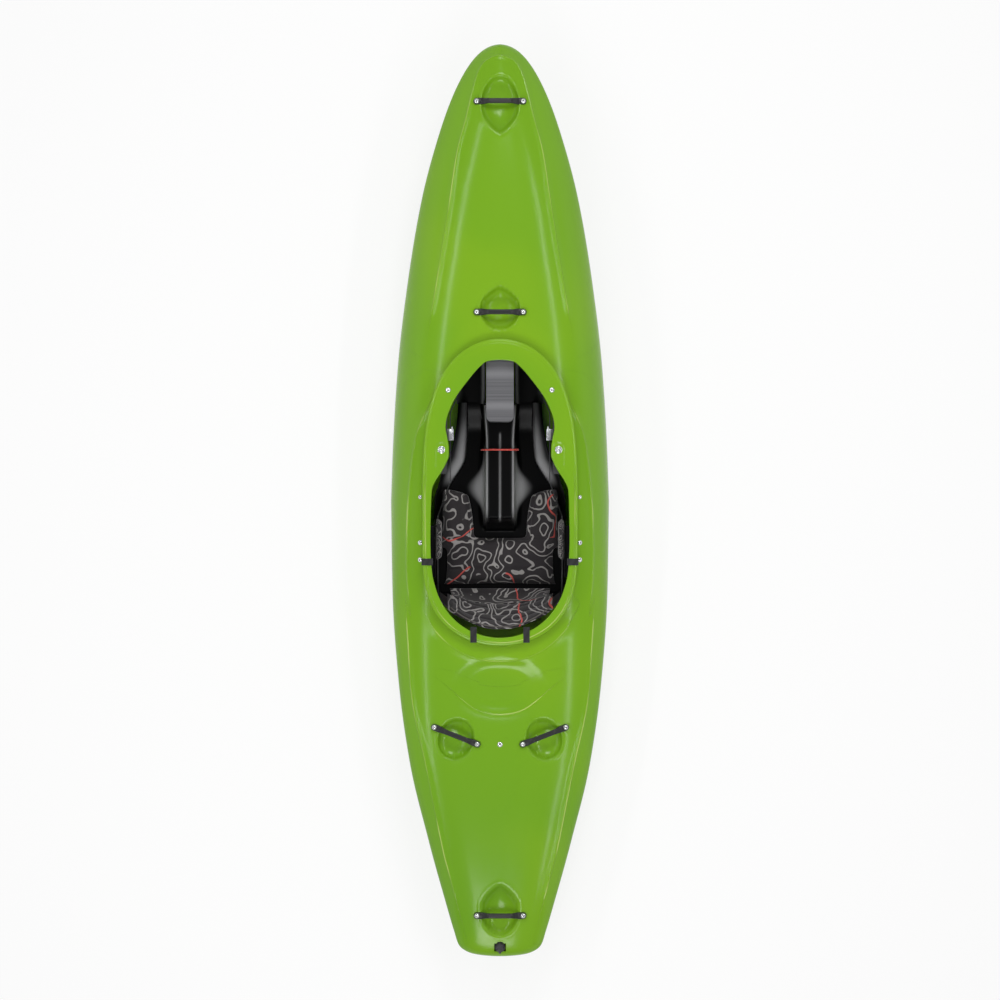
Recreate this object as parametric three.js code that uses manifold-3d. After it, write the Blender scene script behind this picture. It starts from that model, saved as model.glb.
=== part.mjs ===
// Whitewater kayak: a moulded shell with a cockpit rim, grab handles, a drain plug, foam pillars,
// an adjustable seat, hip pads, backband with ratchets, thigh braces and foot pedals.
// Millimetres. +Y is the bow, +X the right-hand side, +Z up. The origin is under the middle of
// the boat, on the plane that its flat bottom stands on.
import * as THREE from 'three';
import { mergeVertices } from 'three/addons/utils/BufferGeometryUtils.js';
import Module from 'manifold-3d';

const wasm = await Module();
wasm.setup();

const degrees = Math.PI / 180;
const half = 1 / 2;

// Driving dimensions of the shell. The tips and the seam go by the deck's height amidships.
const hullLength = 2734;
const hullBeam = 656;
const midDeckHeight = 332;
const bowTipDrop = 70;
const sternTipDrop = 147;
const seamDrop = 150;
const hullWall = 5;
const bowTipHeight = midDeckHeight - bowTipDrop;
const sternTipHeight = midDeckHeight - sternTipDrop;
const seamHeight = midDeckHeight - seamDrop;
const tipY = hullLength * half;
const sectionsPerHalf = 20;
const deckSteps = 8;
const bottomSteps = 5;
const innerDeckSteps = 5;
const innerBottomSteps = 3;
const innerStartSection = 2;

// Outline and profile of the shell, read over the root of the distance from each tip as a share
// of the length. Widths are shares of half the beam. Heights are shares of the way from the
// height at the tip to the height at the middle of the boat.
const bowProfileShares = {
  width: [[0, 0], [0.1, 0.19], [0.24, 0.435], [0.32, 0.567], [0.41, 0.713], [0.51, 0.845],
    [0.59, 0.933], [0.66, 0.98], [0.7072, 1]],
  keel: [[0, 0], [0.1, 0.19], [0.2, 0.37], [0.3, 0.542], [0.4, 0.718], [0.5, 0.878],
    [0.57, 0.975], [0.615, 1], [0.7072, 1]],
  seam: [[0, 0], [0.1, 0.01], [0.2, 0.05], [0.3, 0.15], [0.4, 0.3], [0.5, 0.525], [0.6, 0.775],
    [0.7072, 1]],
  deck: [[0, 0], [0.04, 0.25], [0.1, 0.49], [0.2, 0.86], [0.3, 1.09], [0.4, 1.21], [0.5, 1.28],
    [0.6, 1.22], [0.7072, 1]],
  deckSquareness: [[0, 1.7], [0.25, 1.8], [0.45, 2.6], [0.6, 3.6], [0.7072, 4]],
  deckRoundness: [[0, 1.15], [0.3, 1.25], [0.6, 1.55], [0.7072, 1.6]],
  flatBottom: [[0, 0.1], [0.25, 0.3], [0.5, 0.5], [0.62, 0.55], [0.7072, 0.55]],
};
const sternProfileShares = {
  width: [[0, 0], [0.06, 0.27], [0.11, 0.375], [0.17, 0.424], [0.25, 0.506], [0.36, 0.66],
    [0.46, 0.825], [0.55, 0.93], [0.63, 0.985], [0.7072, 1]],
  keel: [[0, 0], [0.1, 0.19], [0.2, 0.395], [0.3, 0.578], [0.4, 0.762], [0.5, 0.914],
    [0.58, 0.99], [0.615, 1], [0.7072, 1]],
  seam: [[0, 0], [0.3, 0.2], [0.7072, 1]],
  deck: [[0, 0], [0.04, 0.11], [0.07, 0.17], [0.1, 0.2], [0.2, 0.28], [0.3, 0.35], [0.4, 0.415],
    [0.5, 0.47], [0.6, 0.63], [0.66, 0.85], [0.7072, 1]],
  deckSquareness: [[0, 3.2], [0.4, 3.4], [0.6, 3.8], [0.7072, 4]],
  deckRoundness: [[0, 1.5], [0.7072, 1.6]],
  flatBottom: [[0, 0.3], [0.3, 0.45], [0.62, 0.55], [0.7072, 0.55]],
};
const bottomSquareness = 2.3;
const bottomRoundness = 1.8;

// Cockpit rim. The rim is a flat plate that rises towards the bow, on an upright wall.
const rimFrontRise = 42;
const rimRearDrop = 35;
const rim = {
  frontY: 483,
  rearY: -430,
  widestY: -110,
  halfWidth: 231,
  frontPower: 4,
  rearPower: 3.2,
  widthPower: 2,
  frontTop: midDeckHeight + rimFrontRise,
  rearTop: midDeckHeight - rimRearDrop,
  plate: 6,
  overhang: 14,
  wall: 5,
  footDepth: 60,
  loopSteps: 14,
};
// The keyhole opening: [share of its length from the front, share of its half width].
const opening = {
  frontY: 420,
  rearY: -406,
  halfWidth: 207,
  halfShares: [[0, 0], [0.002, 0.12], [0.0054, 0.19], [0.0182, 0.262], [0.0363, 0.335],
    [0.0672, 0.438], [0.1017, 0.545], [0.1416, 0.652], [0.178, 0.72], [0.214, 0.768],
    [0.243, 0.78], [0.276, 0.757],
    [0.312, 0.736], [0.341, 0.733], [0.37, 0.771], [0.403, 0.843], [0.432, 0.921],
    [0.468, 0.979], [0.541, 0.993], [0.65, 1], [0.759, 0.979], [0.831, 0.912], [0.882, 0.82],
    [0.926, 0.69], [0.962, 0.52], [0.987, 0.31], [1, 0]],
};

// Gaps between pieces that touch, and the overrun of cutting tools past what they cut.
const seatGap = 0.3;
const boltGap = 0.4;
const overrun = 2;
const roundSides = 20;
const weldDistance = 0.001;
const sliverSize = 0.02;
const deckSpread = 0.5;
const backFlatShare = 0.2;
const boltSides = 10;

// Grab handles, each over a scoop in the deck. Places are in plan, from the middle of the boat.
const handle = {
  boltSpacing: 138,
  overallLength: 157,
  width: 20,
  padThickness: 9,
  barThickness: 11,
  rise: 9,
  flatTop: 62,
  crownShare: 0.55,
  shoulderShare: 0.34,
  bevel: 1.5,
};
const handleBolt = {
  headRadius: 7.5, headHeight: 4, shankRadius: 3, nutRadius: 5.8, nutHeight: 5, reach: 17,
};
const handlePlan = {
  fromBowTip: 175,
  fromSternTip: 126,
  aheadOfRim: 80,
  behindRim: 271,
  rearX: 132,
  rearTurn: 21.3,
};
const rearHandleY = rim.rearY - handlePlan.behindRim;
const handlePlaces = [
  { name: 'bow_handle', x: 0, y: tipY - handlePlan.fromBowTip, turn: 0 },
  { name: 'cockpit_handle', x: 0, y: rim.frontY + handlePlan.aheadOfRim, turn: 0 },
  { name: 'rear_handle_left', x: -handlePlan.rearX, y: rearHandleY, turn: -handlePlan.rearTurn },
  { name: 'rear_handle_right', x: handlePlan.rearX, y: rearHandleY, turn: handlePlan.rearTurn },
  { name: 'stern_handle', x: 0, y: handlePlan.fromSternTip - tipY, turn: 0 },
];
// The scoops, each with how far it lies ahead of its handle.
const bowScoop = { ahead: -10, halfWidth: 57, halfLength: 87, depth: 34 };
const cockpitScoop = { ahead: 12, halfWidth: 60, halfLength: 65, depth: 32 };
const rearScoop = { ahead: -10, halfWidth: 54, halfLength: 62, depth: 28 };
const sternScoop = { ahead: 15, halfWidth: 57, halfLength: 79, depth: 30 };
const scoopPlaces = [bowScoop, cockpitScoop, rearScoop, rearScoop, sternScoop].map(
  (scoop, i) => ({ ...handlePlaces[i], ...scoop, y: handlePlaces[i].y + scoop.ahead }));
const scoopSides = 14;
const scoopRings = 8;

// Drain plug, its seal and the threaded socket that is set into the stern deck.
const drainFromTip = 30;
const drain = {
  x: 0,
  y: drainFromTip - tipY,
  socketRadius: 15.5,
  socketDepth: 24,
  socketProud: 3,
  boreRadius: 9,
  headRadius: 13.5,
  headHeight: 7,
  shankRadius: 8.6,
  shankLength: 15,
  slotWidth: 5,
  slotDepth: 4,
  tabLength: 5,
  tabWidth: 9,
  sealHeight: 2,
  sealInner: 9.2,
  sealOuter: 12.4,
};

// Foam pillars that keep the decks up.
const frontPillarFromTip = 407;
const rearPillarFromTip = 287;
const pillarRise = 2;
const pillarBehindRim = 18;
const screwBehindRim = 297;
const pillar = {
  width: 82,
  frontBaseY: 352,
  frontEndY: tipY - frontPillarFromTip,
  overhangY: 238,
  overhangBottom: 152,
  visibleTop: midDeckHeight + pillarRise,
  cornerRadius: 16,
  rearStartY: rim.rearY - pillarBehindRim,
  rearEndY: rearPillarFromTip - tipY,
  screwY: rim.rearY - screwBehindRim,
};

// Seat moulding: a tray with raised edges, a console between the legs and two hangers.
const seat = {
  baseThickness: 7,
  frontY: 300,
  frontHalfWidth: 132,
  shoulderFrontY: 128,
  shoulderRearY: 6,
  hipHalfWidth: 200,
  rearY: -290,
  rearHalfWidth: 186,
  edgeWidth: 6,
  edgeHeight: 34,
  consoleWidth: 87,
  consoleTop: 143,
  consoleFootY: -92,
  consoleCrestY: -46,
  consoleFlare: 26,
  consoleFlareHeight: 62,
  consoleWall: 5,
  ridgeWidth: 7,
  ridgeHeight: 5,
  ribWidth: 3,
  wingFrontY: 430,
  wingRise: 19,
  wingThickness: 6,
  wingGap: 5,
  hangerThickness: 7,
  hangerFrontY: -72,
  hangerRearY: -226,
  hangerGap: 27.5,
  flangeWidth: 40,
  flangeThickness: 6,
  travel: 38,
};
const seatBolt = {
  x: 238, frontY: -123, rearY: -174, headRadius: 7.5, headHeight: 4, shankRadius: 3,
  spacerRadius: 6.5, nutRadius: 7, nutHeight: 5,
};
const deckScrew = { x: 238, y: 13, headRadius: 6, headHeight: 3, shankRadius: 2.2, length: 16 };
const pillarScrew = { headRadius: 8, headHeight: 3, shankRadius: 3, length: 45 };

// Soft pieces on the seat.
const seatPad = {
  rearY: -262,
  frontY: 44,
  notchRearY: -98,
  lobeInner: 74,
  halfWidth: 186,
  rearHalfWidth: 176,
  thickness: 46,
  lobeRise: 26,
  lobeSplay: 26,
  lobeRounding: 20,
  crownShare: 0.32,
  pinchShare: 0.03,
  channelDepth: 5,
  channelWidthShare: 0.09,
  channelSpacingShare: 0.45,
  columns: 16,
  rows: 10,
  lobeColumns: 8,
  lobeRows: 12,
};
const hipPad = { frontY: -44, rearY: -184, bottom: 82, drop: 50, thickness: 26, steps: 10 };
const backbandDrop = 40;
const backband = {
  radius: 270,
  backY: -352,
  halfAngle: 38,
  bottom: 126,
  top: midDeckHeight - backbandDrop,
  frameThickness: 4,
  padThickness: 24,
  columns: 18,
  rows: 10,
  taperShare: 0.35,
  lean: 0.45,
  frameEndAngle: 4,
  frameShare: 0.5,
};
const rearStrap = { x: 79, width: 19, thickness: 2.4, frontY: -374, edgeY: -383, endY: -421,
  dropShare: 0.6 };
const rimStrap = { y: -180, width: 20, thickness: 2.4, outerX: 234, hang: 26, wrap: 5 };

// Thigh braces hung under the rim plate, with the ratchets that tighten the backband.
const brace = {
  innerX: 157,
  outerX: 194,
  frontY: 372,
  rearY: 82,
  frontInnerX: 134,
  frontOuterX: 172,
  shoulderY: 262,
  cornerCut: 18,
  plate: 6,
  padThickness: 14,
  padInset: 4,
  travel: 42,
  slotX: 174,
  slotY: 154,
  frontBoltX: 154,
  frontBoltY: 331,
  recessWidth: 34,
  recessLength: 84,
  recessDepth: 2.5,
};
const braceBolt = {
  headRadius: 8, headHeight: 4, shankRadius: 3, washerRadius: 11, washerHeight: 1.5,
  nutRadius: 6.5, nutHeight: 4,
};
const ladderDrop = 14;
const ladder = {
  x: 148,
  width: 14,
  thickness: 2.6,
  level: midDeckHeight - ladderDrop,
  hipX: 186,
  hipGap: 8,
  lapLength: 24,
  straightPast: 66,
  tailLength: 45,
  tailInset: 20,
};
const ratchet = {
  y: 199,
  length: 34,
  depth: 15,
  wall: 1.8,
  sideGap: 2.2,
  heightGap: 4.6,
  pinRadius: 1.6,
  pinFromBack: 10.6,
  leverThickness: 3.4,
  leverReach: 24,
  lugLength: 12,
};

// Bungee across the console and foot pedals on their rails.
const bungee = { y: 156, radius: 2.6, overhang: 12, rise: 7, sides: 8, steps: 18, depth: 22 };
const footRise = 40;
const footRearFromTip = 747;
const footFrontFromTip = 497;
const foot = {
  rearY: tipY - footRearFromTip,
  frontY: tipY - footFrontFromTip,
  rearInset: 0.54,
  frontInset: 5.48,
  level: seamHeight + footRise,
  railHeight: 30,
  railThickness: 5,
  grooveDepth: 2,
  grooveHeight: 14,
  pedalWidth: 92,
  pedalHeight: 128,
  pedalThickness: 9,
  dropShare: 0.85,
  carriageLength: 46,
  carriageHeight: 24,
  carriageDepth: 16,
  travel: 80,
};

// Materials.
const colours = {
  shell: ['#76ab2d', 0.42, 0],
  blackPlastic: ['#17181a', 0.5, 0],
  seatPlastic: ['#1d1e20', 0.6, 0],
  steel: ['#c4c6c8', 0.3, 1],
  greyFoam: ['#5e5f62', 0.9, 0],
  fabric: ['#2d2a2c', 0.95, 0],
  webbing: ['#141416', 0.9, 0],
  redCord: ['#e1463c', 0.8, 0],
  rubber: ['#101010', 0.8, 0],
  railAluminium: ['#9ea1a5', 0.4, 1],
};
const materialOf = (name) => {
  const [color, roughness, metalness] = colours[name];
  return new THREE.MeshStandardMaterial({ color, roughness, metalness });
};

const kayak = new THREE.Group();
const addPiece = (name, solid, material) => {
  const mesh = new THREE.Mesh(geometryOf(solid), materialOf(material));
  mesh.name = name;
  kayak.add(mesh);
};

// A closed geometry as a solid, and a solid as a geometry.
function solidOf(geometry) {
  const bare = geometry.clone();
  for (const name of Object.keys(bare.attributes)) {
    if (name !== 'position') bare.deleteAttribute(name);
  }
  const merged = mergeVertices(bare, weldDistance);
  const corners = merged.index.array;
  const triangles = [];
  for (let i = 0; i < corners.length; i += 3) {
    const [a, b, c] = [corners[i], corners[i + 1], corners[i + 2]];
    if (a !== b && b !== c && c !== a) triangles.push(a, b, c);
  }
  return new wasm.Manifold(new wasm.Mesh({
    numProp: 3,
    vertProperties: new Float32Array(merged.attributes.position.array),
    triVerts: new Uint32Array(triangles),
  }));
}

function geometryOf(solid) {
  const mesh = solid.simplify(sliverSize).getMesh();
  const geometry = new THREE.BufferGeometry();
  geometry.setAttribute('position', new THREE.BufferAttribute(mesh.vertProperties, mesh.numProp));
  geometry.setIndex(new THREE.BufferAttribute(mesh.triVerts, 1));
  geometry.computeVertexNormals();
  return geometry;
}

// A geometry from points and faces given as lists of corner numbers.
function geometryFrom(points, faces) {
  const geometry = new THREE.BufferGeometry();
  geometry.setAttribute('position', new THREE.Float32BufferAttribute(points.flat(), 3));
  geometry.setIndex(faces.flatMap((f) => f.slice(2).flatMap((c, i) => [f[0], f[i + 1], c])));
  return geometry;
}

// Turns a solid by an angle about Z and moves it.
const placed = (solid, x, y, z, turn = 0) => solid.rotate([0, 0, turn]).translate([x, y, z]);
const mirrored = (solid) => solid.mirror([1, 0, 0]);
const joined = (solids) => solids.reduce((sum, next) => sum.add(next));

const box = (x0, x1, y0, y1, z0, z1) => solidOf(new THREE.BoxGeometry(x1 - x0, y1 - y0, z1 - z0)
  .translate((x0 + x1) * half, (y0 + y1) * half, (z0 + z1) * half));

// A round bar along Z from one height to another.
const bar = (radius, z0, z1, sides = boltSides) => solidOf(
  new THREE.CylinderGeometry(radius, radius, z1 - z0, sides).rotateX(Math.PI * half)
    .translate(0, 0, (z0 + z1) * half));

// A turned piece about Z. The profile is a list of [radius, height] from the axis to the axis.
const turned = (profile, sides = roundSides) => solidOf(new THREE.LatheGeometry(
  profile.map(([r, z]) => new THREE.Vector2(r, z)), sides).rotateX(Math.PI * half));

// A flat outline with holes in plan, given a bottom and a top height at each point.
function prism(outline, bottomAt, topAt, holes = []) {
  const loops = [outline, ...holes].map((loop) => loop.map(([x, y]) => new THREE.Vector2(x, y)));
  if (THREE.ShapeUtils.isClockWise(loops[0])) loops[0].reverse();
  for (const loop of loops.slice(1)) {
    if (!THREE.ShapeUtils.isClockWise(loop)) loop.reverse();
  }
  const flat = loops.flat();
  const count = flat.length;
  const points = [
    ...flat.map((p) => [p.x, p.y, bottomAt(p.x, p.y)]),
    ...flat.map((p) => [p.x, p.y, topAt(p.x, p.y)]),
  ];
  const faces = [];
  for (const [a, b, c] of THREE.ShapeUtils.triangulateShape(loops[0], loops.slice(1))) {
    faces.push([a + count, b + count, c + count], [c, b, a]);
  }
  let start = 0;
  for (const loop of loops) {
    loop.forEach((_, i) => {
      const a = start + i;
      const b = start + ((i + 1) % loop.length);
      faces.push([a, b, b + count, a + count]);
    });
    start += loop.length;
  }
  return solidOf(geometryFrom(points, faces));
}
const level = (z) => () => z;

// An outline in the Y-Z plane drawn out along X between two places.
function sidePanel(outline, x0, x1) {
  const shape = new THREE.Shape(outline.map(([y, z]) => new THREE.Vector2(y, z)));
  const geometry = new THREE.ExtrudeGeometry(shape, { depth: x1 - x0, bevelEnabled: false });
  const axes = new THREE.Matrix4().makeBasis(
    new THREE.Vector3(0, 1, 0), new THREE.Vector3(0, 0, 1), new THREE.Vector3(1, 0, 0));
  return solidOf(geometry.applyMatrix4(axes).translate(x0, 0, 0));
}

// A smooth curve through [place, value] points that never overshoots between them.
function curveThrough(points) {
  const slopes = points.slice(1).map(([x, v], i) => (v - points[i][1]) / (x - points[i][0]));
  const tangents = points.map((_, i) => {
    if (i === 0) return slopes[0];
    if (i === points.length - 1) return slopes[i - 1];
    if (slopes[i - 1] * slopes[i] <= 0) return 0;
    return 2 * slopes[i - 1] * slopes[i] / (slopes[i - 1] + slopes[i]);
  });
  return (x) => {
    let i = 0;
    while (i < points.length - 2 && x > points[i + 1][0]) i += 1;
    const span = points[i + 1][0] - points[i][0];
    const t = Math.min(Math.max((x - points[i][0]) / span, 0), 1);
    const [a, b] = [points[i][1], points[i + 1][1]];
    const t2 = t * t;
    const t3 = t2 * t;
    return a * (2 * t3 - 3 * t2 + 1) + b * (3 * t2 - 2 * t3)
      + span * (tangents[i] * (t3 - 2 * t2 + t) + tangents[i + 1] * (t3 - t2));
  };
}

// Hull shape. One set of curves for each end.
const curvesOf = (shares) => Object.fromEntries(
  Object.entries(shares).map(([name, points]) => [name, curveThrough(points)]));
const ends = {
  bow: { ...curvesOf(bowProfileShares), tip: bowTipHeight },
  stern: { ...curvesOf(sternProfileShares), tip: sternTipHeight },
};
const blend = (from, to, share) => from + (to - from) * share;

// The section at a place along the boat: half width and the heights of keel, seam and deck.
function sectionAt(y) {
  const end = y > 0 ? ends.bow : ends.stern;
  const root = Math.sqrt(Math.max(hullLength * half - Math.abs(y), 0) / hullLength);
  return {
    width: hullBeam * half * end.width(root),
    keel: blend(end.tip, 0, end.keel(root)),
    seam: blend(end.tip, seamHeight, end.seam(root)),
    deck: blend(end.tip, midDeckHeight, end.deck(root)),
    squareness: end.deckSquareness(root),
    roundness: end.deckRoundness(root),
    flat: end.flatBottom(root),
  };
}
const insetSection = (s, inset) => (
  { ...s, width: s.width - inset, keel: s.keel + inset, deck: s.deck - inset });

// Height of the deck, or of its underside, over a place in plan.
function deckHeight(x, y, inset = 0) {
  const s = insetSection(sectionAt(y), inset);
  const t = Math.min(Math.abs(x) / s.width, 1);
  return s.seam + (s.deck - s.seam) * (1 - t ** s.squareness) ** (1 / s.roundness);
}

// Half width of the room inside the shell at a place along the boat, at a height above the seam.
function roomHalfWidth(y, z) {
  const s = insetSection(sectionAt(y), hullWall + seatGap);
  const rise = Math.max(z - s.seam, 0) / (s.deck - s.seam);
  return s.width * (1 - rise ** s.roundness) ** (1 / s.squareness);
}

// The seat hangs this high, under the deck where its rear bolts come through.
const hangerTop = deckHeight(seatBolt.x, seatBolt.rearY, hullWall) - seat.hangerGap;
const hipPadTop = hangerTop - hipPad.drop;

// The right-hand half of a section, from the deck's middle round to the keel.
function halfRing(s, deckCount, bottomCount) {
  const ring = [];
  for (let i = 0; i <= deckCount; i += 1) {
    const angle = Math.PI * half * (i / deckCount) ** (s.squareness * deckSpread);
    const x = s.width * Math.sin(angle) ** (2 / s.squareness);
    ring.push([x, s.seam + (s.deck - s.seam) * Math.max(Math.cos(angle), 0) ** (2 / s.roundness)]);
  }
  for (let i = bottomCount - 1; i >= 0; i -= 1) {
    const angle = Math.PI * half * i / bottomCount;
    const t = Math.sin(angle) ** (2 / bottomSquareness);
    const rise = 1 - Math.cos(angle) ** (2 / bottomRoundness);
    ring.push([s.width * (s.flat + (1 - s.flat) * t), s.keel + (s.seam - s.keel) * rise]);
  }
  ring.push([0, s.keel]);
  return ring;
}

// Sections lie closer together towards the tips, as the root of the distance does.
const sectionRoots = Array.from({ length: sectionsPerHalf + 1 },
  (_, i) => Math.SQRT1_2 * i / sectionsPerHalf);
function stationsFrom(first) {
  const fromTip = sectionRoots.slice(first).map((root) => hullLength * (half - root * root));
  return [...fromTip, ...fromTip.slice(0, -1).reverse().map((y) => -y)];
}

// A closed hull form, inset from the outer surface, that starts at the given section.
function hullForm(inset, first, deckCount, bottomCount) {
  const stations = stationsFrom(first);
  const around = 2 * (deckCount + bottomCount + 1);
  const points = [];
  for (const y of stations) {
    const ring = halfRing(insetSection(sectionAt(y), inset), deckCount, bottomCount);
    for (const [x, z] of ring) points.push([x, y, z]);
    for (const [x, z] of ring.slice(1, -1).reverse()) points.push([-x, y, z]);
  }
  const faces = [];
  for (let s = 0; s < stations.length - 1; s += 1) {
    for (let i = 0; i < around; i += 1) {
      const j = (i + 1) % around;
      faces.push([s * around + i, (s + 1) * around + i, (s + 1) * around + j, s * around + j]);
    }
  }
  const cap = Array.from({ length: around }, (_, i) => i);
  faces.push(cap, cap.map((i) => (stations.length - 1) * around + i).reverse());
  return solidOf(geometryFrom(points, faces));
}

// Shell.
const rimTop = (x, y) => rim.rearTop
  + (rim.frontTop - rim.rearTop) * (y - rim.rearY) / (rim.frontY - rim.rearY);
const rimUnder = (x, y) => rimTop(x, y) - rim.plate;

// The rim's egg-shaped loop, drawn in by an inset.
function rimLoop(inset) {
  const loop = [];
  for (let i = 0; i < 4 * rim.loopSteps; i += 1) {
    const angle = Math.PI * half * i / rim.loopSteps;
    const [across, along] = [Math.sin(angle), Math.cos(angle)];
    const reach = (along > 0 ? rim.frontY - rim.widestY : rim.widestY - rim.rearY) - inset;
    const power = along > 0 ? rim.frontPower : rim.rearPower;
    loop.push([
      (rim.halfWidth - inset) * Math.sign(across) * Math.abs(across) ** (2 / rim.widthPower),
      rim.widestY + reach * Math.sign(along) * Math.abs(along) ** (2 / power),
    ]);
  }
  return loop;
}

// The keyhole's loop, from its front round the right-hand side to its rear and back.
const openingHalf = opening.halfShares.map(([along, across]) => [
  opening.halfWidth * across, blend(opening.frontY, opening.rearY, along)]);
const openingLoop = [...openingHalf, ...openingHalf.slice(1, -1).reverse().map(([x, y]) => [-x, y])];

const openingHalfAt = curveThrough(openingHalf.map(([x, y]) => [-y, x]));

const ellipsoid = (place, grow) => placed(
  solidOf(new THREE.SphereGeometry(1, scoopSides, scoopRings).rotateX(Math.PI * half))
    .scale([place.halfWidth + grow, place.halfLength + grow, place.depth + grow]),
  place.x, place.y, deckHeight(place.x, place.y), place.turn);
const scoops = (grow) => joined(scoopPlaces.map((place) => ellipsoid(place, grow)));

const outerForm = hullForm(0, 0, deckSteps, bottomSteps);
const outerSkin = hullForm(-seatGap, 0, deckSteps, bottomSteps).subtract(scoops(-seatGap));
const cavity = (inset) => hullForm(inset, innerStartSection, innerDeckSteps, innerBottomSteps)
  .subtract(scoops(inset));
const innerForm = cavity(hullWall);
const innerRoom = cavity(hullWall + seatGap);

// A handle's place: its two deck points, and the turn and tilt of the bar between them.
function handleFrame(place) {
  const reach = handle.boltSpacing * half;
  const turn = place.turn * degrees;
  const ends = [-1, 1].map((side) => {
    const x = place.x + side * reach * Math.cos(turn);
    const y = place.y + side * reach * Math.sin(turn);
    return new THREE.Vector3(x, y, deckHeight(x, y));
  });
  const along = ends[1].clone().sub(ends[0]).normalize();
  const side = new THREE.Vector3(-Math.sin(turn), Math.cos(turn), 0);
  const up = along.clone().cross(side).normalize();
  const middle = ends[0].clone().add(ends[1]).multiplyScalar(half);
  return new THREE.Matrix4().makeBasis(along, side, up).setPosition(middle);
}
// How far the deck's crown stands above the chord between a handle's two pads.
const crownAt = (place) => deckHeight(place.x, place.y)
  - new THREE.Vector3().setFromMatrixPosition(handleFrame(place)).z;
const inFrame = (solid, matrix) => solid.transform(matrix.elements);
const handleFrames = handlePlaces.map(handleFrame);
const handleEnds = [-handle.boltSpacing * half, handle.boltSpacing * half];

const boltHoles = (radius, depth, height) => joined(handleFrames.flatMap((frame) => handleEnds.map(
  (x) => inFrame(bar(radius, -depth, height).translate([x, 0, 0]), frame))));

const sides = [-1, 1];
const seatBoltPlaces = sides.flatMap((side) => [
  [side * seatBolt.x, seatBolt.frontY], [side * seatBolt.x, seatBolt.rearY]]);
const drill = (x, y, radius, z0, z1, count = boltSides) => bar(radius, z0, z1, count)
  .translate([x, y, 0]);
const slotLoop = (x, y, width, length) => {
  const loop = [];
  for (const end of [1, -1]) {
    for (let i = 0; i <= boltSides * half; i += 1) {
      const angle = Math.PI * i / (boltSides * half);
      loop.push([x + end * Math.cos(angle) * width * half,
        y + end * ((length - width) * half + Math.sin(angle) * width * half)]);
    }
  }
  return loop;
};

const drainDeck = deckHeight(drain.x, drain.y);
const braceHole = braceBolt.shankRadius + boltGap;

let shell = outerForm
  .add(prism(rimLoop(rim.overhang), (x, y) => rimUnder(x, y) - rim.footDepth,
    (x, y) => rimTop(x, y) - rim.plate * half))
  .add(prism(rimLoop(0), rimUnder, rimTop))
  .subtract(scoops(0))
  .subtract(innerForm)
  .subtract(prism(rimLoop(rim.overhang + rim.wall), level(seamHeight), rimUnder))
  .subtract(prism(openingLoop, level(seamHeight), (x, y) => rimTop(x, y) + overrun))
  .subtract(boltHoles(handleBolt.shankRadius + boltGap, handleBolt.reach, handle.padThickness))
  .subtract(drill(drain.x, drain.y, drain.socketRadius + seatGap,
    drainDeck - drain.socketDepth - overrun, drainDeck + drain.socketDepth, roundSides))
  .subtract(drill(0, pillar.screwY, pillarScrew.shankRadius + boltGap, seamHeight, rim.rearTop));
for (const [x, y] of seatBoltPlaces) {
  shell = shell.subtract(drill(x, y, seatBolt.shankRadius + boltGap, seamHeight, rim.rearTop
    + seatBolt.headRadius));
}
for (const side of sides) {
  const recessFloor = (x, y) => rimTop(x, y) - brace.recessDepth;
  const above = (x, y) => rimTop(x, y) + overrun;
  const below = (x, y) => rimUnder(x, y) - overrun;
  const slotX = side * brace.slotX;
  const slotMiddle = brace.slotY - brace.travel * half;
  shell = shell
    .subtract(drill(side * deckScrew.x, deckScrew.y, deckScrew.shankRadius + boltGap,
      seamHeight, rim.frontTop))
    .subtract(prism(slotLoop(slotX, slotMiddle, brace.recessWidth, brace.recessLength),
      recessFloor, above))
    .subtract(prism(slotLoop(slotX, slotMiddle, 2 * braceHole, brace.travel + 2 * braceHole),
      below, above))
    .subtract(prism(slotLoop(side * brace.frontBoltX, brace.frontBoltY, 2 * braceHole,
      2 * braceHole + seatGap), below, above));
}
addPiece('hull_shell', shell, 'shell');

// Grab handles: a flat-topped bar that arches over its scoop and stands on two bolted pads.
function handleBar(crown) {
  const h = handle;
  const [end, bolt, flat] = [h.overallLength * half, h.boltSpacing * half, h.flatTop * half];
  const padEnd = 2 * bolt - end - h.width * half;
  const sink = h.padThickness;
  const barTop = h.padThickness + h.rise + crown * h.crownShare;
  const shoulder = h.padThickness + crown * h.shoulderShare;
  const headEdge = bolt - handleBolt.headRadius - h.bevel;
  const outline = [
    [-end, -sink], [-padEnd, -sink], [-flat, barTop - h.barThickness],
    [flat, barTop - h.barThickness], [padEnd, -sink], [end, -sink], [end, h.padThickness],
    [headEdge, h.padThickness], [padEnd, shoulder], [flat, barTop], [-flat, barTop],
    [-padEnd, shoulder], [-headEdge, h.padThickness], [-end, h.padThickness],
  ];
  const shape = new THREE.Shape(outline.map(([x, z]) => new THREE.Vector2(x, z)));
  const geometry = new THREE.ExtrudeGeometry(shape, {
    depth: h.width - 2 * h.bevel, bevelEnabled: true, bevelThickness: h.bevel, bevelSize: h.bevel,
    bevelOffset: -h.bevel, bevelSegments: 1,
  }).rotateX(Math.PI * half).translate(0, h.width * half - h.bevel, 0);
  return solidOf(geometry);
}
const handleHoles = joined(handleEnds.map((x) => bar(handleBolt.shankRadius + boltGap,
  -2 * handle.padThickness, 2 * handle.padThickness).translate([x, 0, 0])));
handlePlaces.forEach((place, i) => {
  const bossedBar = handleBar(crownAt(place)).subtract(handleHoles);
  const body = inFrame(bossedBar, handleFrames[i]).subtract(outerSkin);
  addPiece(place.name, body, 'blackPlastic');
});

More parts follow.
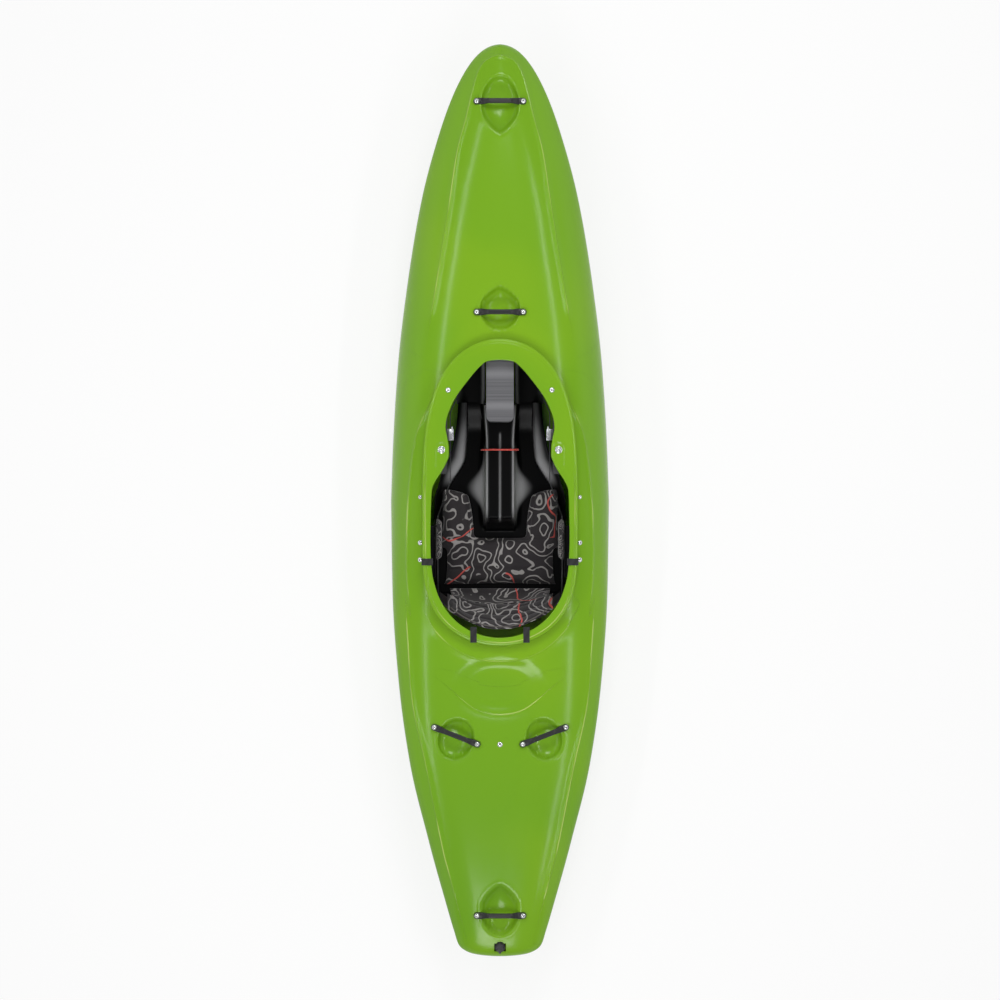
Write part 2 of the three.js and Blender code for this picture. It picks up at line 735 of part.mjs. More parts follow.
// A domed bolt whose head rests at height zero, with a round nut below the deck.
const domeSteps = 3;
function dome(radius, height) {
  return Array.from({ length: domeSteps + 1 }, (_, i) => {
    const angle = Math.PI * half * i / domeSteps;
    return [radius * Math.cos(angle), height * Math.sin(angle)];
  });
}
function domedBolt({ headRadius, headHeight, shankRadius, nutRadius, nutHeight }, nutTop) {
  return turned([
    [0, nutTop - nutHeight], [nutRadius, nutTop - nutHeight], [nutRadius, nutTop],
    [shankRadius, nutTop], [shankRadius, 0], ...dome(headRadius, headHeight).slice(0, -1),
    [0, headHeight],
  ], boltSides);
}
handlePlaces.forEach((place, i) => {
  const deckRoom = hullWall + handleBolt.nutRadius;
  const nutTop = -deckRoom - handle.padThickness - seatGap;
  const bolt = domedBolt(handleBolt, nutTop);
  handleEnds.forEach((x, end) => {
    const seated = bolt.translate([x, 0, handle.padThickness + seatGap]);
    addPiece(`${place.name}_bolt_${end + 1}`, inFrame(seated, handleFrames[i]), 'steel');
  });
});

// Drain socket, seal and plug on one upright axis.
const socketTop = drainDeck + drain.socketProud;
const atDrain = (solid) => solid.translate([drain.x, drain.y, 0]);
const ring = (outer, inner, z0, z1) => bar(outer, z0, z1, roundSides)
  .subtract(bar(inner, z0 - overrun, z1 + overrun, roundSides));
addPiece('drain_socket', atDrain(ring(drain.socketRadius, drain.boreRadius,
  drainDeck - drain.socketDepth, socketTop)), 'blackPlastic');
const sealBottom = socketTop + seatGap;
addPiece('drain_seal', atDrain(ring(drain.sealOuter, drain.sealInner,
  sealBottom, sealBottom + drain.sealHeight)), 'rubber');
const plugBottom = sealBottom + drain.sealHeight + seatGap;
const plugTop = plugBottom + drain.headHeight;
const plug = bar(drain.headRadius, plugBottom, plugTop, roundSides)
  .add(bar(drain.shankRadius, plugBottom - drain.shankLength, plugBottom + overrun, roundSides))
  .add(box(-drain.tabWidth * half, drain.tabWidth * half, -drain.headRadius - drain.tabLength, 0,
    plugBottom, plugBottom + drain.headHeight * half))
  .subtract(box(-drain.headRadius * half - drain.slotWidth, drain.headRadius * half
    + drain.slotWidth, -drain.slotWidth * half, drain.slotWidth * half,
    plugTop - drain.slotDepth, plugTop + overrun));
addPiece('drain_plug', atDrain(plug), 'blackPlastic');

// Foam pillars, trimmed to the room between deck and floor.
const p = pillar;
const roof = midDeckHeight + seamHeight;
const frontOutline = [
  [p.frontBaseY, -overrun], [p.frontEndY, -overrun], [p.frontEndY, roof],
  [rim.frontY - rim.overhang, roof], [rim.frontY - rim.overhang, p.visibleTop],
  [p.overhangY, p.visibleTop], [p.overhangY, p.overhangBottom], [p.frontBaseY, p.overhangBottom],
];
const roundedEnd = [];
for (let i = 0; i <= boltSides; i += 1) {
  const side = i <= boltSides * half ? 1 : -1;
  const angle = Math.PI * half * Math.abs(boltSides * half - i) / (boltSides * half);
  roundedEnd.push([
    side * (p.width * half - p.cornerRadius * (1 - Math.sin(angle))),
    p.overhangY + p.cornerRadius * (1 - Math.cos(angle)),
  ]);
}
const frontPlan = [[-p.width * half, p.frontEndY], [p.width * half, p.frontEndY], ...roundedEnd];
const frontPillar = sidePanel(frontOutline, -p.width * half, p.width * half)
  .intersect(prism(frontPlan, level(-overrun), level(roof)))
  .intersect(innerRoom.add(box(-p.width, p.width, 0, rim.frontY, seamHeight, p.visibleTop)))
  .subtract(prism(rimLoop(rim.overhang - seatGap), level(p.visibleTop), level(roof))
    .subtract(prism(rimLoop(rim.overhang + rim.wall + seatGap), level(0), level(roof + overrun))));
addPiece('front_pillar', frontPillar, 'greyFoam');

const pillarTop = deckHeight(0, p.screwY + pillarScrew.headRadius) + seatGap;
const rearPillar = box(-p.width * half, p.width * half, p.rearEndY, p.rearStartY, -overrun, roof)
  .intersect(innerRoom)
  .subtract(drill(0, p.screwY, pillarScrew.shankRadius + boltGap,
    pillarTop - pillarScrew.length - overrun, pillarTop));
addPiece('rear_pillar', rearPillar, 'greyFoam');
const woodScrew = (size) => turned([
  [0, -size.length], [size.shankRadius, -size.length + size.shankRadius], [size.shankRadius, 0],
  ...dome(size.headRadius, size.headHeight).slice(0, -1), [0, size.headHeight],
], boltSides);
addPiece('rear_pillar_screw', woodScrew(pillarScrew).translate([0, p.screwY, pillarTop]), 'steel');

// Seat: one moulding of tray, console and hangers, standing on the flat bottom.
const st = seat;
const seatFloor = hullWall + seatGap;
const trayHalf = [
  [st.frontHalfWidth, st.frontY], [st.frontHalfWidth, st.shoulderFrontY],
  [st.hipHalfWidth, st.shoulderRearY], [st.hipHalfWidth, st.hangerRearY],
  [st.rearHalfWidth, st.rearY],
];
const bothSides = (points) => [...points, ...points.slice().reverse().map(([x, y]) => [-x, y])];
const trayLoop = bothSides(trayHalf);
const trayInner = bothSides(trayHalf.map(([x, y], i) => [x - st.edgeWidth,
  i === 0 ? y - st.edgeWidth : i === trayHalf.length - 1 ? y + st.edgeWidth : y]));
const tray = prism(trayLoop, level(seatFloor), level(seatFloor + st.edgeHeight))
  .subtract(prism(trayInner, level(seatFloor + st.baseThickness),
    level(seatFloor + st.edgeHeight + overrun)));
const consoleFront = st.frontY - st.edgeWidth;
const consoleSide = (top) => [
  [consoleFront, seatFloor], [consoleFront, top], [st.consoleCrestY, top],
  [st.consoleFootY, seatFloor + st.baseThickness], [st.consoleFootY, seatFloor],
];
const consoleHalf = st.consoleWidth * half;
const ridge = (side) => sidePanel(consoleSide(st.consoleTop + st.ridgeHeight),
  side < 0 ? -consoleHalf : consoleHalf - st.ridgeWidth,
  side < 0 ? st.ridgeWidth - consoleHalf : consoleHalf);
const flare = prism([
  [-consoleHalf - st.consoleFlare, seatFloor], [consoleHalf + st.consoleFlare, seatFloor],
  [consoleHalf - overrun, st.consoleFlareHeight], [overrun - consoleHalf, st.consoleFlareHeight],
], level(st.consoleFootY), level(consoleFront - st.edgeWidth))
  .transform(new THREE.Matrix4().makeBasis(new THREE.Vector3(1, 0, 0),
    new THREE.Vector3(0, 0, 1), new THREE.Vector3(0, 1, 0)).elements);
const hollowTop = st.consoleTop - st.consoleWall;
const consoleHollow = sidePanel([
  [consoleFront - st.consoleWall, 0], [consoleFront - st.consoleWall, hollowTop],
  [st.consoleCrestY + st.consoleWall, hollowTop],
  [st.consoleFootY + 2 * st.consoleWall, 0],
], st.consoleWall - consoleHalf, consoleHalf - st.consoleWall);
const consoleBody = sidePanel(consoleSide(st.consoleTop), -consoleHalf, consoleHalf)
  .add(ridge(-1)).add(ridge(1)).add(flare)
  .add(box(-st.ribWidth * half, st.ribWidth * half, st.consoleCrestY, p.overhangY - st.travel,
    st.consoleTop - overrun, st.consoleTop + st.ribWidth));
// Two wings run forward from the tray's front edge, one either side of the foam pillar.
const wingRear = st.frontY - st.edgeWidth * half;
const wingLow = seatFloor + st.edgeHeight;
const wing = (side) => sidePanel([
  [wingRear, wingLow], [st.wingFrontY, wingLow + st.wingRise],
  [st.wingFrontY, wingLow + st.wingRise - st.wingThickness],
  [wingRear, wingLow - st.wingThickness],
], side < 0 ? -st.frontHalfWidth : p.width * half + st.wingGap,
side < 0 ? -p.width * half - st.wingGap : st.frontHalfWidth);
const hangerSide = [
  [st.hangerFrontY + st.edgeHeight, seatFloor], [st.hangerFrontY, hangerTop],
  [st.hangerRearY, hangerTop], [st.hangerRearY - st.edgeHeight, seatFloor],
];
function hanger(side) {
  const [inner, outer] = [st.hipHalfWidth - st.hangerThickness, st.hipHalfWidth];
  const wall = sidePanel(hangerSide, side < 0 ? -outer : inner, side < 0 ? -inner : outer);
  const flange = box(Math.min(side * inner, side * (outer + st.flangeWidth)),
    Math.max(side * inner, side * (outer + st.flangeWidth)), st.hangerRearY, st.hangerFrontY,
    hangerTop - st.flangeThickness, hangerTop);
  const slots = [seatBolt.frontY, seatBolt.rearY].map((y) => prism(slotLoop(side * seatBolt.x, y,
    2 * (seatBolt.shankRadius + boltGap), 2 * (st.travel + seatBolt.shankRadius + boltGap)),
  level(hangerTop - st.flangeThickness - overrun), level(hangerTop + overrun)));
  return wall.add(flange).subtract(joined(slots));
}
// The bungee's route: out of one side of the console, in a low arch, and into the other.
const bungeeReach = consoleHalf + bungee.overhang;
const bungeeEnd = consoleHalf - st.ridgeWidth;
const bungeeOverRidge = st.consoleTop + st.ridgeHeight + bungee.radius + 4 * seatGap;
const bungeeRoute = new THREE.CatmullRomCurve3([
  new THREE.Vector3(-bungeeEnd, bungee.y, st.consoleTop - bungee.depth),
  new THREE.Vector3(-bungeeReach, bungee.y, st.consoleTop - bungee.depth * half),
  new THREE.Vector3(-consoleHalf, bungee.y, bungeeOverRidge),
  new THREE.Vector3(0, bungee.y, st.consoleTop + st.ridgeHeight + bungee.rise),
  new THREE.Vector3(consoleHalf, bungee.y, bungeeOverRidge),
  new THREE.Vector3(bungeeReach, bungee.y, st.consoleTop - bungee.depth * half),
  new THREE.Vector3(bungeeEnd, bungee.y, st.consoleTop - bungee.depth),
]);
function cordAlong(route, radius) {
  const shape = new THREE.Shape(new THREE.EllipseCurve(0, 0, radius, radius, 0, 2 * Math.PI)
    .getPoints(bungee.sides).slice(0, -1));
  return solidOf(new THREE.ExtrudeGeometry(shape,
    { steps: bungee.steps, extrudePath: route, bevelEnabled: false }));
}
const bungeeCord = cordAlong(bungeeRoute, bungee.radius);
const bungeeHole = (x0, x1) => solidOf(new THREE.CylinderGeometry(1, 1, x1 - x0, boltSides)
  .rotateZ(Math.PI * half).translate((x0 + x1) * half, 0, 0))
  .scale([1, bungee.radius + 3 * boltGap, bungee.radius + bungee.rise])
  .translate([0, bungee.y, st.consoleTop - bungee.depth]);
// The room the seat may use wherever it is slid to.
const slidingRoom = [-st.travel, 0, st.travel].map((y) => innerRoom.translate([0, y, 0]))
  .reduce((room, next) => room.intersect(next));
const seatSolid = tray.add(consoleBody).add(hanger(-1)).add(hanger(1)).add(wing(-1)).add(wing(1))
  .intersect(slidingRoom)
  .subtract(consoleHollow)
  .subtract(bungeeHole(-consoleHalf - st.consoleFlare, st.ridgeWidth + bungee.rise - consoleHalf))
  .subtract(bungeeHole(consoleHalf - st.ridgeWidth - bungee.rise, consoleHalf + st.consoleFlare));
addPiece('seat', seatSolid, 'seatPlastic');
addPiece('console_bungee', bungeeCord, 'redCord');

// Seat bolts hang from the deck on spacers and clamp the hangers' slotted flanges.
for (const [index, [x, y]] of seatBoltPlaces.entries()) {
  const headBottom = deckHeight(Math.abs(x) - seatBolt.headRadius, y + seatBolt.headRadius) + seatGap;
  const flangeTop = hangerTop + seatGap;
  const spacerTop = deckHeight(Math.abs(x) + seatBolt.spacerRadius,
    y - seatBolt.spacerRadius, hullWall) - seatBolt.spacerRadius * half;
  const nutTop = hangerTop - st.flangeThickness - seatGap;
  addPiece(`seat_bolt_${index + 1}`, turned([
    [0, nutTop - seatBolt.nutHeight], [seatBolt.nutRadius, nutTop - seatBolt.nutHeight],
    [seatBolt.nutRadius, nutTop], [seatBolt.shankRadius, nutTop],
    [seatBolt.shankRadius, flangeTop], [seatBolt.spacerRadius, flangeTop],
    [seatBolt.spacerRadius, spacerTop], [seatBolt.shankRadius, spacerTop],
    [seatBolt.shankRadius, headBottom],
    ...dome(seatBolt.headRadius, seatBolt.headHeight).slice(0, -1)
      .map(([r, z]) => [r, z + headBottom]),
    [0, headBottom + seatBolt.headHeight],
  ], boltSides).translate([x, y, 0]), 'steel');
}
sides.forEach((side) => {
  const name = side < 0 ? 'left' : 'right';
  const x = side * deckScrew.x;
  addPiece(`deck_screw_${name}`, woodScrew(deckScrew).translate([x, deckScrew.y,
    deckHeight(Math.abs(x) - deckScrew.headRadius, deckScrew.y + deckScrew.headRadius) + seatGap]),
  'steel');
});

// A stuffed panel. It is drawn on a square from -1 to 1 each way, with its front and back faces
// swelling from an edge of part of the thickness, sides drawn in between the corners, and sewn
// channels sunk into the front. The map puts (across, along, out) in place.
function stuffedPanel({ columns, rows, thickness, edgeShare, pinch, channels, map }) {
  const swell = (u, v) => {
    const crown = ((1 - u ** 4) * (1 - v ** 4)) ** half;
    const sewn = channels.reduce((sum, c) => sum + c.depth
      * Math.exp(-((((c.across ? u : v) - c.at) / c.width) ** 2)), 0);
    return thickness * half * (edgeShare + (1 - edgeShare) * crown) - sewn * crown;
  };
  const points = [];
  for (const face of [1, -1]) {
    for (let r = 0; r <= rows; r += 1) {
      for (let c = 0; c <= columns; c += 1) {
        const [u, v] = [2 * c / columns - 1, 2 * r / rows - 1];
        const out = face > 0 ? swell(u, v) : -thickness * half * (edgeShare
          + (1 - edgeShare) * ((1 - u ** 4) * (1 - v ** 4)) ** half * backFlatShare);
        points.push(map(u * (1 - pinch * (1 - v * v)), v * (1 - pinch * (1 - u * u)), out));
      }
    }
  }
  const at = (face, r, c) => face * (rows + 1) * (columns + 1) + r * (columns + 1) + c;
  const faces = [];
  for (let r = 0; r < rows; r += 1) {
    for (let c = 0; c < columns; c += 1) {
      faces.push([at(0, r, c), at(0, r, c + 1), at(0, r + 1, c + 1), at(0, r + 1, c)]);
      faces.push([at(1, r, c), at(1, r + 1, c), at(1, r + 1, c + 1), at(1, r, c + 1)]);
    }
  }
  for (let c = 0; c < columns; c += 1) {
    faces.push([at(0, 0, c + 1), at(0, 0, c), at(1, 0, c), at(1, 0, c + 1)]);
    faces.push([at(0, rows, c), at(0, rows, c + 1), at(1, rows, c + 1), at(1, rows, c)]);
  }
  for (let r = 0; r < rows; r += 1) {
    faces.push([at(0, r, 0), at(0, r + 1, 0), at(1, r + 1, 0), at(1, r, 0)]);
    faces.push([at(0, r + 1, columns), at(0, r, columns), at(1, r, columns),
      at(1, r + 1, columns)]);
  }
  const solid = solidOf(geometryFrom(points, faces));
  return solid.volume() > 0 ? solid : solidOf(geometryFrom(points, faces.map((f) => f.reverse())));
}

// Seat pad: a rear cushion and two thigh lobes either side of the console, sewn as one.
const panPlane = seatFloor + st.baseThickness + seatGap;
const flatBase = (lift) => (x, y, out) => [x, y, panPlane + Math.max(out + lift, 0)];
function seatCushion(x0, x1, y0, y1, rise, columns, rows, channels) {
  const middleX = (x0 + x1) * half;
  const lift = seatPad.thickness * half * backFlatShare;
  const base = flatBase(lift);
  return stuffedPanel({
    columns, rows, thickness: seatPad.thickness, edgeShare: seatPad.crownShare,
    pinch: seatPad.pinchShare, channels,
    map: (u, v, out) => {
      const ahead = ((1 + v) * half) ** 2;
      const climb = out > 0 ? rise * ahead : 0;
      const inner = (1 - u * Math.sign(middleX)) * half * (rise > 0 ? 1 : 0);
      const x = blend(x0, x1, (1 + u) * half) + Math.sign(middleX) * seatPad.lobeSplay * ahead * inner;
      const y = blend(y0, y1, (1 + v) * half) - seatPad.lobeRounding * ahead * inner ** 3;
      return base(x, y, out + climb);
    },
  });
}
const lobeTop = [seatPad.notchRearY - seatPad.thickness, seatPad.frontY];
const rearChannels = [-1, 0, 1].map((i) => ({
  across: false, at: i * seatPad.channelSpacingShare, width: seatPad.channelWidthShare,
  depth: seatPad.channelDepth }));
const lobeChannels = [
  { across: true, at: 0, width: seatPad.channelWidthShare, depth: seatPad.channelDepth }];
const lobeShape = [...lobeTop, seatPad.lobeRise, seatPad.lobeColumns, seatPad.lobeRows,
  lobeChannels];
// The tray's raised edge, grown by the seating gap, which the pad is cut to lap over.
const grown = (loop, by) => loop.map(([x, y]) => [x + Math.sign(x) * by, y + Math.sign(y) * by]);
const trayEdge = prism(grown(trayLoop, seatGap), level(0),
  level(seatFloor + st.edgeHeight + seatGap))
  .subtract(prism(grown(trayInner, -2 * seatGap), level(-overrun),
    level(seatFloor + st.edgeHeight + overrun)));
const seatPadSolid = seatCushion(-seatPad.rearHalfWidth, seatPad.rearHalfWidth, seatPad.rearY,
  seatPad.notchRearY, 0, seatPad.columns, seatPad.rows, rearChannels)
  .add(seatCushion(seatPad.lobeInner, seatPad.halfWidth, ...lobeShape))
  .add(seatCushion(-seatPad.halfWidth, -seatPad.lobeInner, ...lobeShape))
  .subtract(trayEdge);
addPiece('seat_pad', seatPadSolid, 'fabric');

// Hip pads on the inner faces of the hangers.
sides.forEach((side) => {
  const name = side < 0 ? 'left' : 'right';
  const face = st.hipHalfWidth - st.hangerThickness - seatGap;
  const h = hipPad;
  const pad = stuffedPanel({
    columns: h.steps, rows: h.steps, thickness: h.thickness, edgeShare: seatPad.crownShare,
    pinch: seatPad.pinchShare,
    channels: [-1, 1].map((i) => ({ across: true, at: i * half * half,
      width: seatPad.channelWidthShare, depth: seatPad.channelDepth * half })),
    map: (u, v, out) => [side * (face - Math.max(out + h.thickness * half * backFlatShare, 0)),
      blend(h.rearY, h.frontY, (1 + u) * half), blend(h.bottom, hipPadTop, (1 + v) * half)],
  });
  addPiece(`hip_pad_${name}`, pad, 'fabric');
});

// Backband: a bent plastic frame behind a stuffed band, and the ladder straps that draw it up.
const bb = backband;
const bandMiddle = (bb.top + bb.bottom) * half;
const bandReach = (bb.top - bb.bottom) * half;
const onArc = (angle, out, z) => [
  Math.sin(angle) * (bb.radius - out),
  bb.backY + bb.radius - Math.cos(angle) * (bb.radius - out) - bb.lean * (z - bandMiddle), z];
const bandHeightShare = (u) => 1 - bb.taperShare * u * u;
const backbandPad = stuffedPanel({
  columns: bb.columns, rows: bb.rows, thickness: bb.padThickness, edgeShare: seatPad.crownShare,
  pinch: 0,
  channels: [-1, 0, 1].map((i) => ({ across: false, at: i * half, width: seatPad.channelWidthShare,
    depth: seatPad.channelDepth })),
  map: (u, v, out) => onArc(u * bb.halfAngle * degrees,
    Math.max(out + bb.padThickness * half * backFlatShare, 0),
    bandMiddle + v * bandReach * bandHeightShare(u)),
});
addPiece('backband_pad', backbandPad, 'fabric');

function bentPlate(inner, outer, halfAngle, reach) {
  const points = [];
  for (let c = 0; c <= bb.columns; c += 1) {
    const u = 2 * c / bb.columns - 1;
    const tall = reach * bandHeightShare(u);
    const angle = u * halfAngle * degrees;
    points.push(onArc(angle, inner, bandMiddle + tall), onArc(angle, outer, bandMiddle + tall),
      onArc(angle, outer, bandMiddle - tall), onArc(angle, inner, bandMiddle - tall));
  }
  const faces = [[0, 1, 2, 3], [3, 2, 1, 0].map((i) => 4 * bb.columns + i)];
  for (let c = 0; c < bb.columns; c += 1) {
    for (let i = 0; i < 4; i += 1) {
      const [a, b] = [4 * c + i, 4 * c + (i + 1) % 4];
      faces.push([a, a + 4, b + 4, b]);
    }
  }
  const solid = solidOf(geometryFrom(points, faces));
  return solid.volume() > 0 ? solid : solidOf(geometryFrom(points, faces.map((f) => f.reverse())));
}
addPiece('backband_frame', bentPlate(-seatGap, -seatGap - bb.frameThickness,
  bb.halfAngle + bb.frameEndAngle, bandReach * bb.frameShare), 'blackPlastic');

// A flat band along a route of [x, y, z, lean] points, upright across its width or leaning back.
function uprightBand(route, width, thickness) {
  const points = [];
  route.forEach(([x, y, z, lean = 0], i) => {
    const [before, after] = [route[Math.max(i - 1, 0)], route[Math.min(i + 1, route.length - 1)]];
    const along = new THREE.Vector2(after[0] - before[0], after[1] - before[1]).normalize();
    const [dx, dy] = [along.y * thickness * half, -along.x * thickness * half];
    const [back, rise] = [lean * width * half, width * half];
    points.push([x + dx, y + dy - back, z + rise], [x - dx, y - dy - back, z + rise],
      [x - dx, y - dy + back, z - rise], [x + dx, y + dy + back, z - rise]);
  });
  const last = route.length - 1;
  const faces = [[0, 1, 2, 3], [3, 2, 1, 0].map((i) => 4 * last + i)];
  for (let c = 0; c < last; c += 1) {
    for (let i = 0; i < 4; i += 1) {
      const [a, b] = [4 * c + i, 4 * c + (i + 1) % 4];
      faces.push([a, a + 4, b + 4, b]);
    }
  }
  const solid = solidOf(geometryFrom(points, faces));
  return solid.volume() > 0 ? solid : solidOf(geometryFrom(points, faces.map((f) => f.reverse())));
}
// The ladder strap runs forward above the hip pad and then straight through its ratchet.
const bandEndAngle = (bb.halfAngle + bb.frameEndAngle) * degrees;
const strapOut = -bb.frameThickness - 4 * seatGap - ladder.thickness * half;
const frameEnd = onArc(bandEndAngle, strapOut, bandMiddle);
const frameLap = onArc(bandEndAngle - ladder.lapLength / bb.radius, strapOut, bandMiddle);
function ladderRoute(side) {
  const hipTop = hipPadTop + ladder.width + ladder.hipGap;
  const places = [
    [...frameLap, bb.lean],
    [...frameEnd, bb.lean],
    [ladder.hipX, hipPad.rearY - ladder.lapLength, hipTop],
    [ladder.hipX, hipPad.frontY, hipTop + ladder.hipGap],
    [ladder.x, brace.rearY - ladder.lapLength, ladder.level],
    [ladder.x, brace.rearY, ladder.level],
    [ladder.x, ratchet.y + ladder.straightPast, ladder.level],
    [ladder.x - ladder.tailInset, ratchet.y + ladder.straightPast + ladder.tailLength, ladder.level],
  ];
  return places.map(([x, y, z, lean]) => [side * x, y, z, lean]);
}
sides.forEach((side) => {
  const name = side < 0 ? 'left' : 'right';
  addPiece(`ladder_strap_${name}`, uprightBand(ladderRoute(side), ladder.width, ladder.thickness),
    'blackPlastic');
});

// Thigh braces: a plate and pad under the rim, held by a bolt that slides in the rim's slot.
const plateTop = (x, y) => rimUnder(x, y) - seatGap;
const plateUnder = (x, y) => plateTop(x, y) - brace.plate;
const b = brace;
const withinWall = prism(rimLoop(rim.overhang + rim.wall + b.padInset), level(seamHeight),
  level(rim.frontTop));
sides.forEach((side) => {
  const name = side < 0 ? 'left' : 'right';
  const outline = (inset) => [
    [b.innerX + inset, b.rearY + inset], [b.outerX - inset, b.rearY + inset],
    [b.outerX - inset, b.slotY + inset], [b.frontOuterX - inset, b.frontY - b.cornerCut - inset],
    [b.frontOuterX - b.cornerCut - inset, b.frontY - inset],
    [b.frontInnerX + inset, b.frontY - inset],
    [b.frontInnerX + inset, b.frontBoltY - b.cornerCut + inset],
    [b.innerX + inset, b.shoulderY + inset],
  ].map(([x, y]) => [side * x, y]);
  const boltGapWidth = 2 * braceHole;
  const frontSlotY = b.frontBoltY + b.travel * half;
  const plate = prism(outline(0), plateUnder, plateTop).intersect(withinWall)
    .subtract(prism(slotLoop(side * b.frontBoltX, frontSlotY, boltGapWidth,
      b.travel + boltGapWidth), (x, y) => plateUnder(x, y) - overrun,
    (x, y) => plateTop(x, y) + overrun))
    .subtract(drill(side * b.slotX, b.slotY, braceHole, seamHeight, rim.frontTop));
  addPiece(`thigh_brace_${name}`, plate, 'blackPlastic');
  const padTop = (x, y) => plateUnder(x, y) - seatGap;
  const pocket = braceBolt.nutRadius + boltGap;
  const pad = prism(outline(b.padInset), (x, y) => padTop(x, y) - b.padThickness, padTop)
    .intersect(withinWall)
    .subtract(prism(slotLoop(side * b.frontBoltX, frontSlotY, 2 * pocket, b.travel + 2 * pocket),
      (x, y) => padTop(x, y) - b.padThickness - overrun, (x, y) => padTop(x, y) + overrun))
    .subtract(drill(side * b.slotX, b.slotY, pocket, seamHeight, rim.frontTop));
  addPiece(`thigh_pad_${name}`, pad, 'rubber');

  // Both bolts of a side have their nuts under the brace plate.
  const boltThrough = (x, y, headBottom, washer) => {
    const under = plateUnder(x, y) - braceBolt.shankRadius;
    return turned([
      [0, under - braceBolt.nutHeight], [braceBolt.nutRadius, under - braceBolt.nutHeight],
      [braceBolt.nutRadius, under], [braceBolt.shankRadius, under],
      [braceBolt.shankRadius, headBottom], [washer, headBottom],
      [washer, headBottom + braceBolt.washerHeight],
      ...dome(braceBolt.headRadius, braceBolt.headHeight).slice(0, -1)
        .map(([r, z]) => [r, z + headBottom + braceBolt.washerHeight]),
      [0, headBottom + braceBolt.washerHeight + braceBolt.headHeight],
    ], boltSides).translate([side * x, y, 0]);
  };
  const lift = (radius) => radius * (rim.frontTop - rim.rearTop) / (rim.frontY - rim.rearY);
  addPiece(`thigh_bolt_${name}`, boltThrough(b.slotX, b.slotY, rimTop(b.slotX, b.slotY)
    - b.recessDepth + lift(braceBolt.washerRadius) + seatGap, braceBolt.washerRadius), 'steel');
  const headEdge = braceBolt.headRadius + boltGap;
  addPiece(`rim_bolt_${name}`, boltThrough(b.frontBoltX, b.frontBoltY,
    rimTop(b.frontBoltX, b.frontBoltY) + lift(headEdge) + seatGap, headEdge), 'steel');

  // Ratchet: a channel on the brace's inner edge, and a lever on an upright pin.
  const r = ratchet;
  const backX = ladder.x + ladder.thickness * half + r.sideGap;
  const channelReach = ladder.width * half + r.heightGap;
  const [low, high] = [ladder.level - channelReach, ladder.level + channelReach];
  const outerFace = backX + r.wall;
  const block = (x0, x1, y0, y1, z0, z1) => box(Math.min(side * x0, side * x1),
    Math.max(side * x0, side * x1), y0, y1, z0, z1);
  const [rearEnd, frontEnd] = [r.y - r.length * half, r.y + r.length * half];
  const pinX = outerFace - r.pinFromBack;
  const base = block(outerFace - r.depth, outerFace, rearEnd, frontEnd, low - r.wall, high + r.wall)
    .subtract(block(outerFace - r.depth - overrun, backX, rearEnd - overrun, frontEnd + overrun,
      low, high))
    .subtract(drill(side * pinX, r.y, r.pinRadius + boltGap, low - 2 * r.wall, high + 2 * r.wall))
    .add(block(outerFace - overrun * half, b.innerX + r.lugLength, rearEnd, frontEnd,
      low - r.wall, plateUnder(b.innerX, rearEnd) - b.padThickness - 3 * seatGap));
  addPiece(`ratchet_base_${name}`, base, 'steel');
  const boss = drill(side * pinX, r.y, r.leverThickness, low + boltGap, high - boltGap);
  const leverInner = ladder.x - ladder.thickness * half - r.sideGap;
  const arm = block(leverInner - r.leverThickness, leverInner, r.y,
    r.y + r.leverReach, low + boltGap, high - boltGap);
  addPiece(`ratchet_lever_${name}`, boss.add(arm)
    .subtract(drill(side * pinX, r.y, r.pinRadius + boltGap, low - overrun, high + overrun)), 'steel');
  addPiece(`ratchet_pin_${name}`, drill(side * pinX, r.y, r.pinRadius, low - r.wall - seatGap,
    high + r.wall + seatGap), 'steel');
});

// Webbing on the rim: two stubs at the rear and one loop down each side.
sides.forEach((side) => {
  const name = side < 0 ? 'left' : 'right';
  const w = rearStrap;
  const under = [w.endY, w.edgeY, w.frontY].map((y) => [
    y, rimTop(0, y) + seatGap - w.dropShare * Math.max(y - w.edgeY, 0)]);
  const over = under.map(([y, z]) => [y, z + w.thickness]).reverse();
  addPiece(`rear_strap_${name}`, sidePanel([...under, ...over],
    side * w.x - w.width * half, side * w.x + w.width * half), 'webbing');

  const t = rimStrap;
  const [y0, y1] = [t.y - t.width * half, t.y + t.width * half];
  const topAtEnd = rimTop(0, y1) + seatGap;
  const outer = rim.halfWidth + seatGap;
  const innerEnd = openingHalfAt(t.width * half - t.y) - 3 * seatGap;
  const strapOutline = [
    [innerEnd - t.thickness, topAtEnd + t.thickness], [outer + t.thickness, topAtEnd + t.thickness],
    [outer + t.thickness, topAtEnd - rim.plate - t.wrap], [outer, topAtEnd - rim.plate - t.wrap],
    [outer, topAtEnd], [innerEnd, topAtEnd], [innerEnd, topAtEnd - t.hang],
    [innerEnd - t.thickness, topAtEnd - t.hang],
  ].map(([x, z]) => [side * x, z]);
  const strap = prism(strapOutline, level(-y1), level(-y0)).rotate([90, 0, 0]);
  addPiece(`rim_strap_${name}`, strap, 'webbing');
});

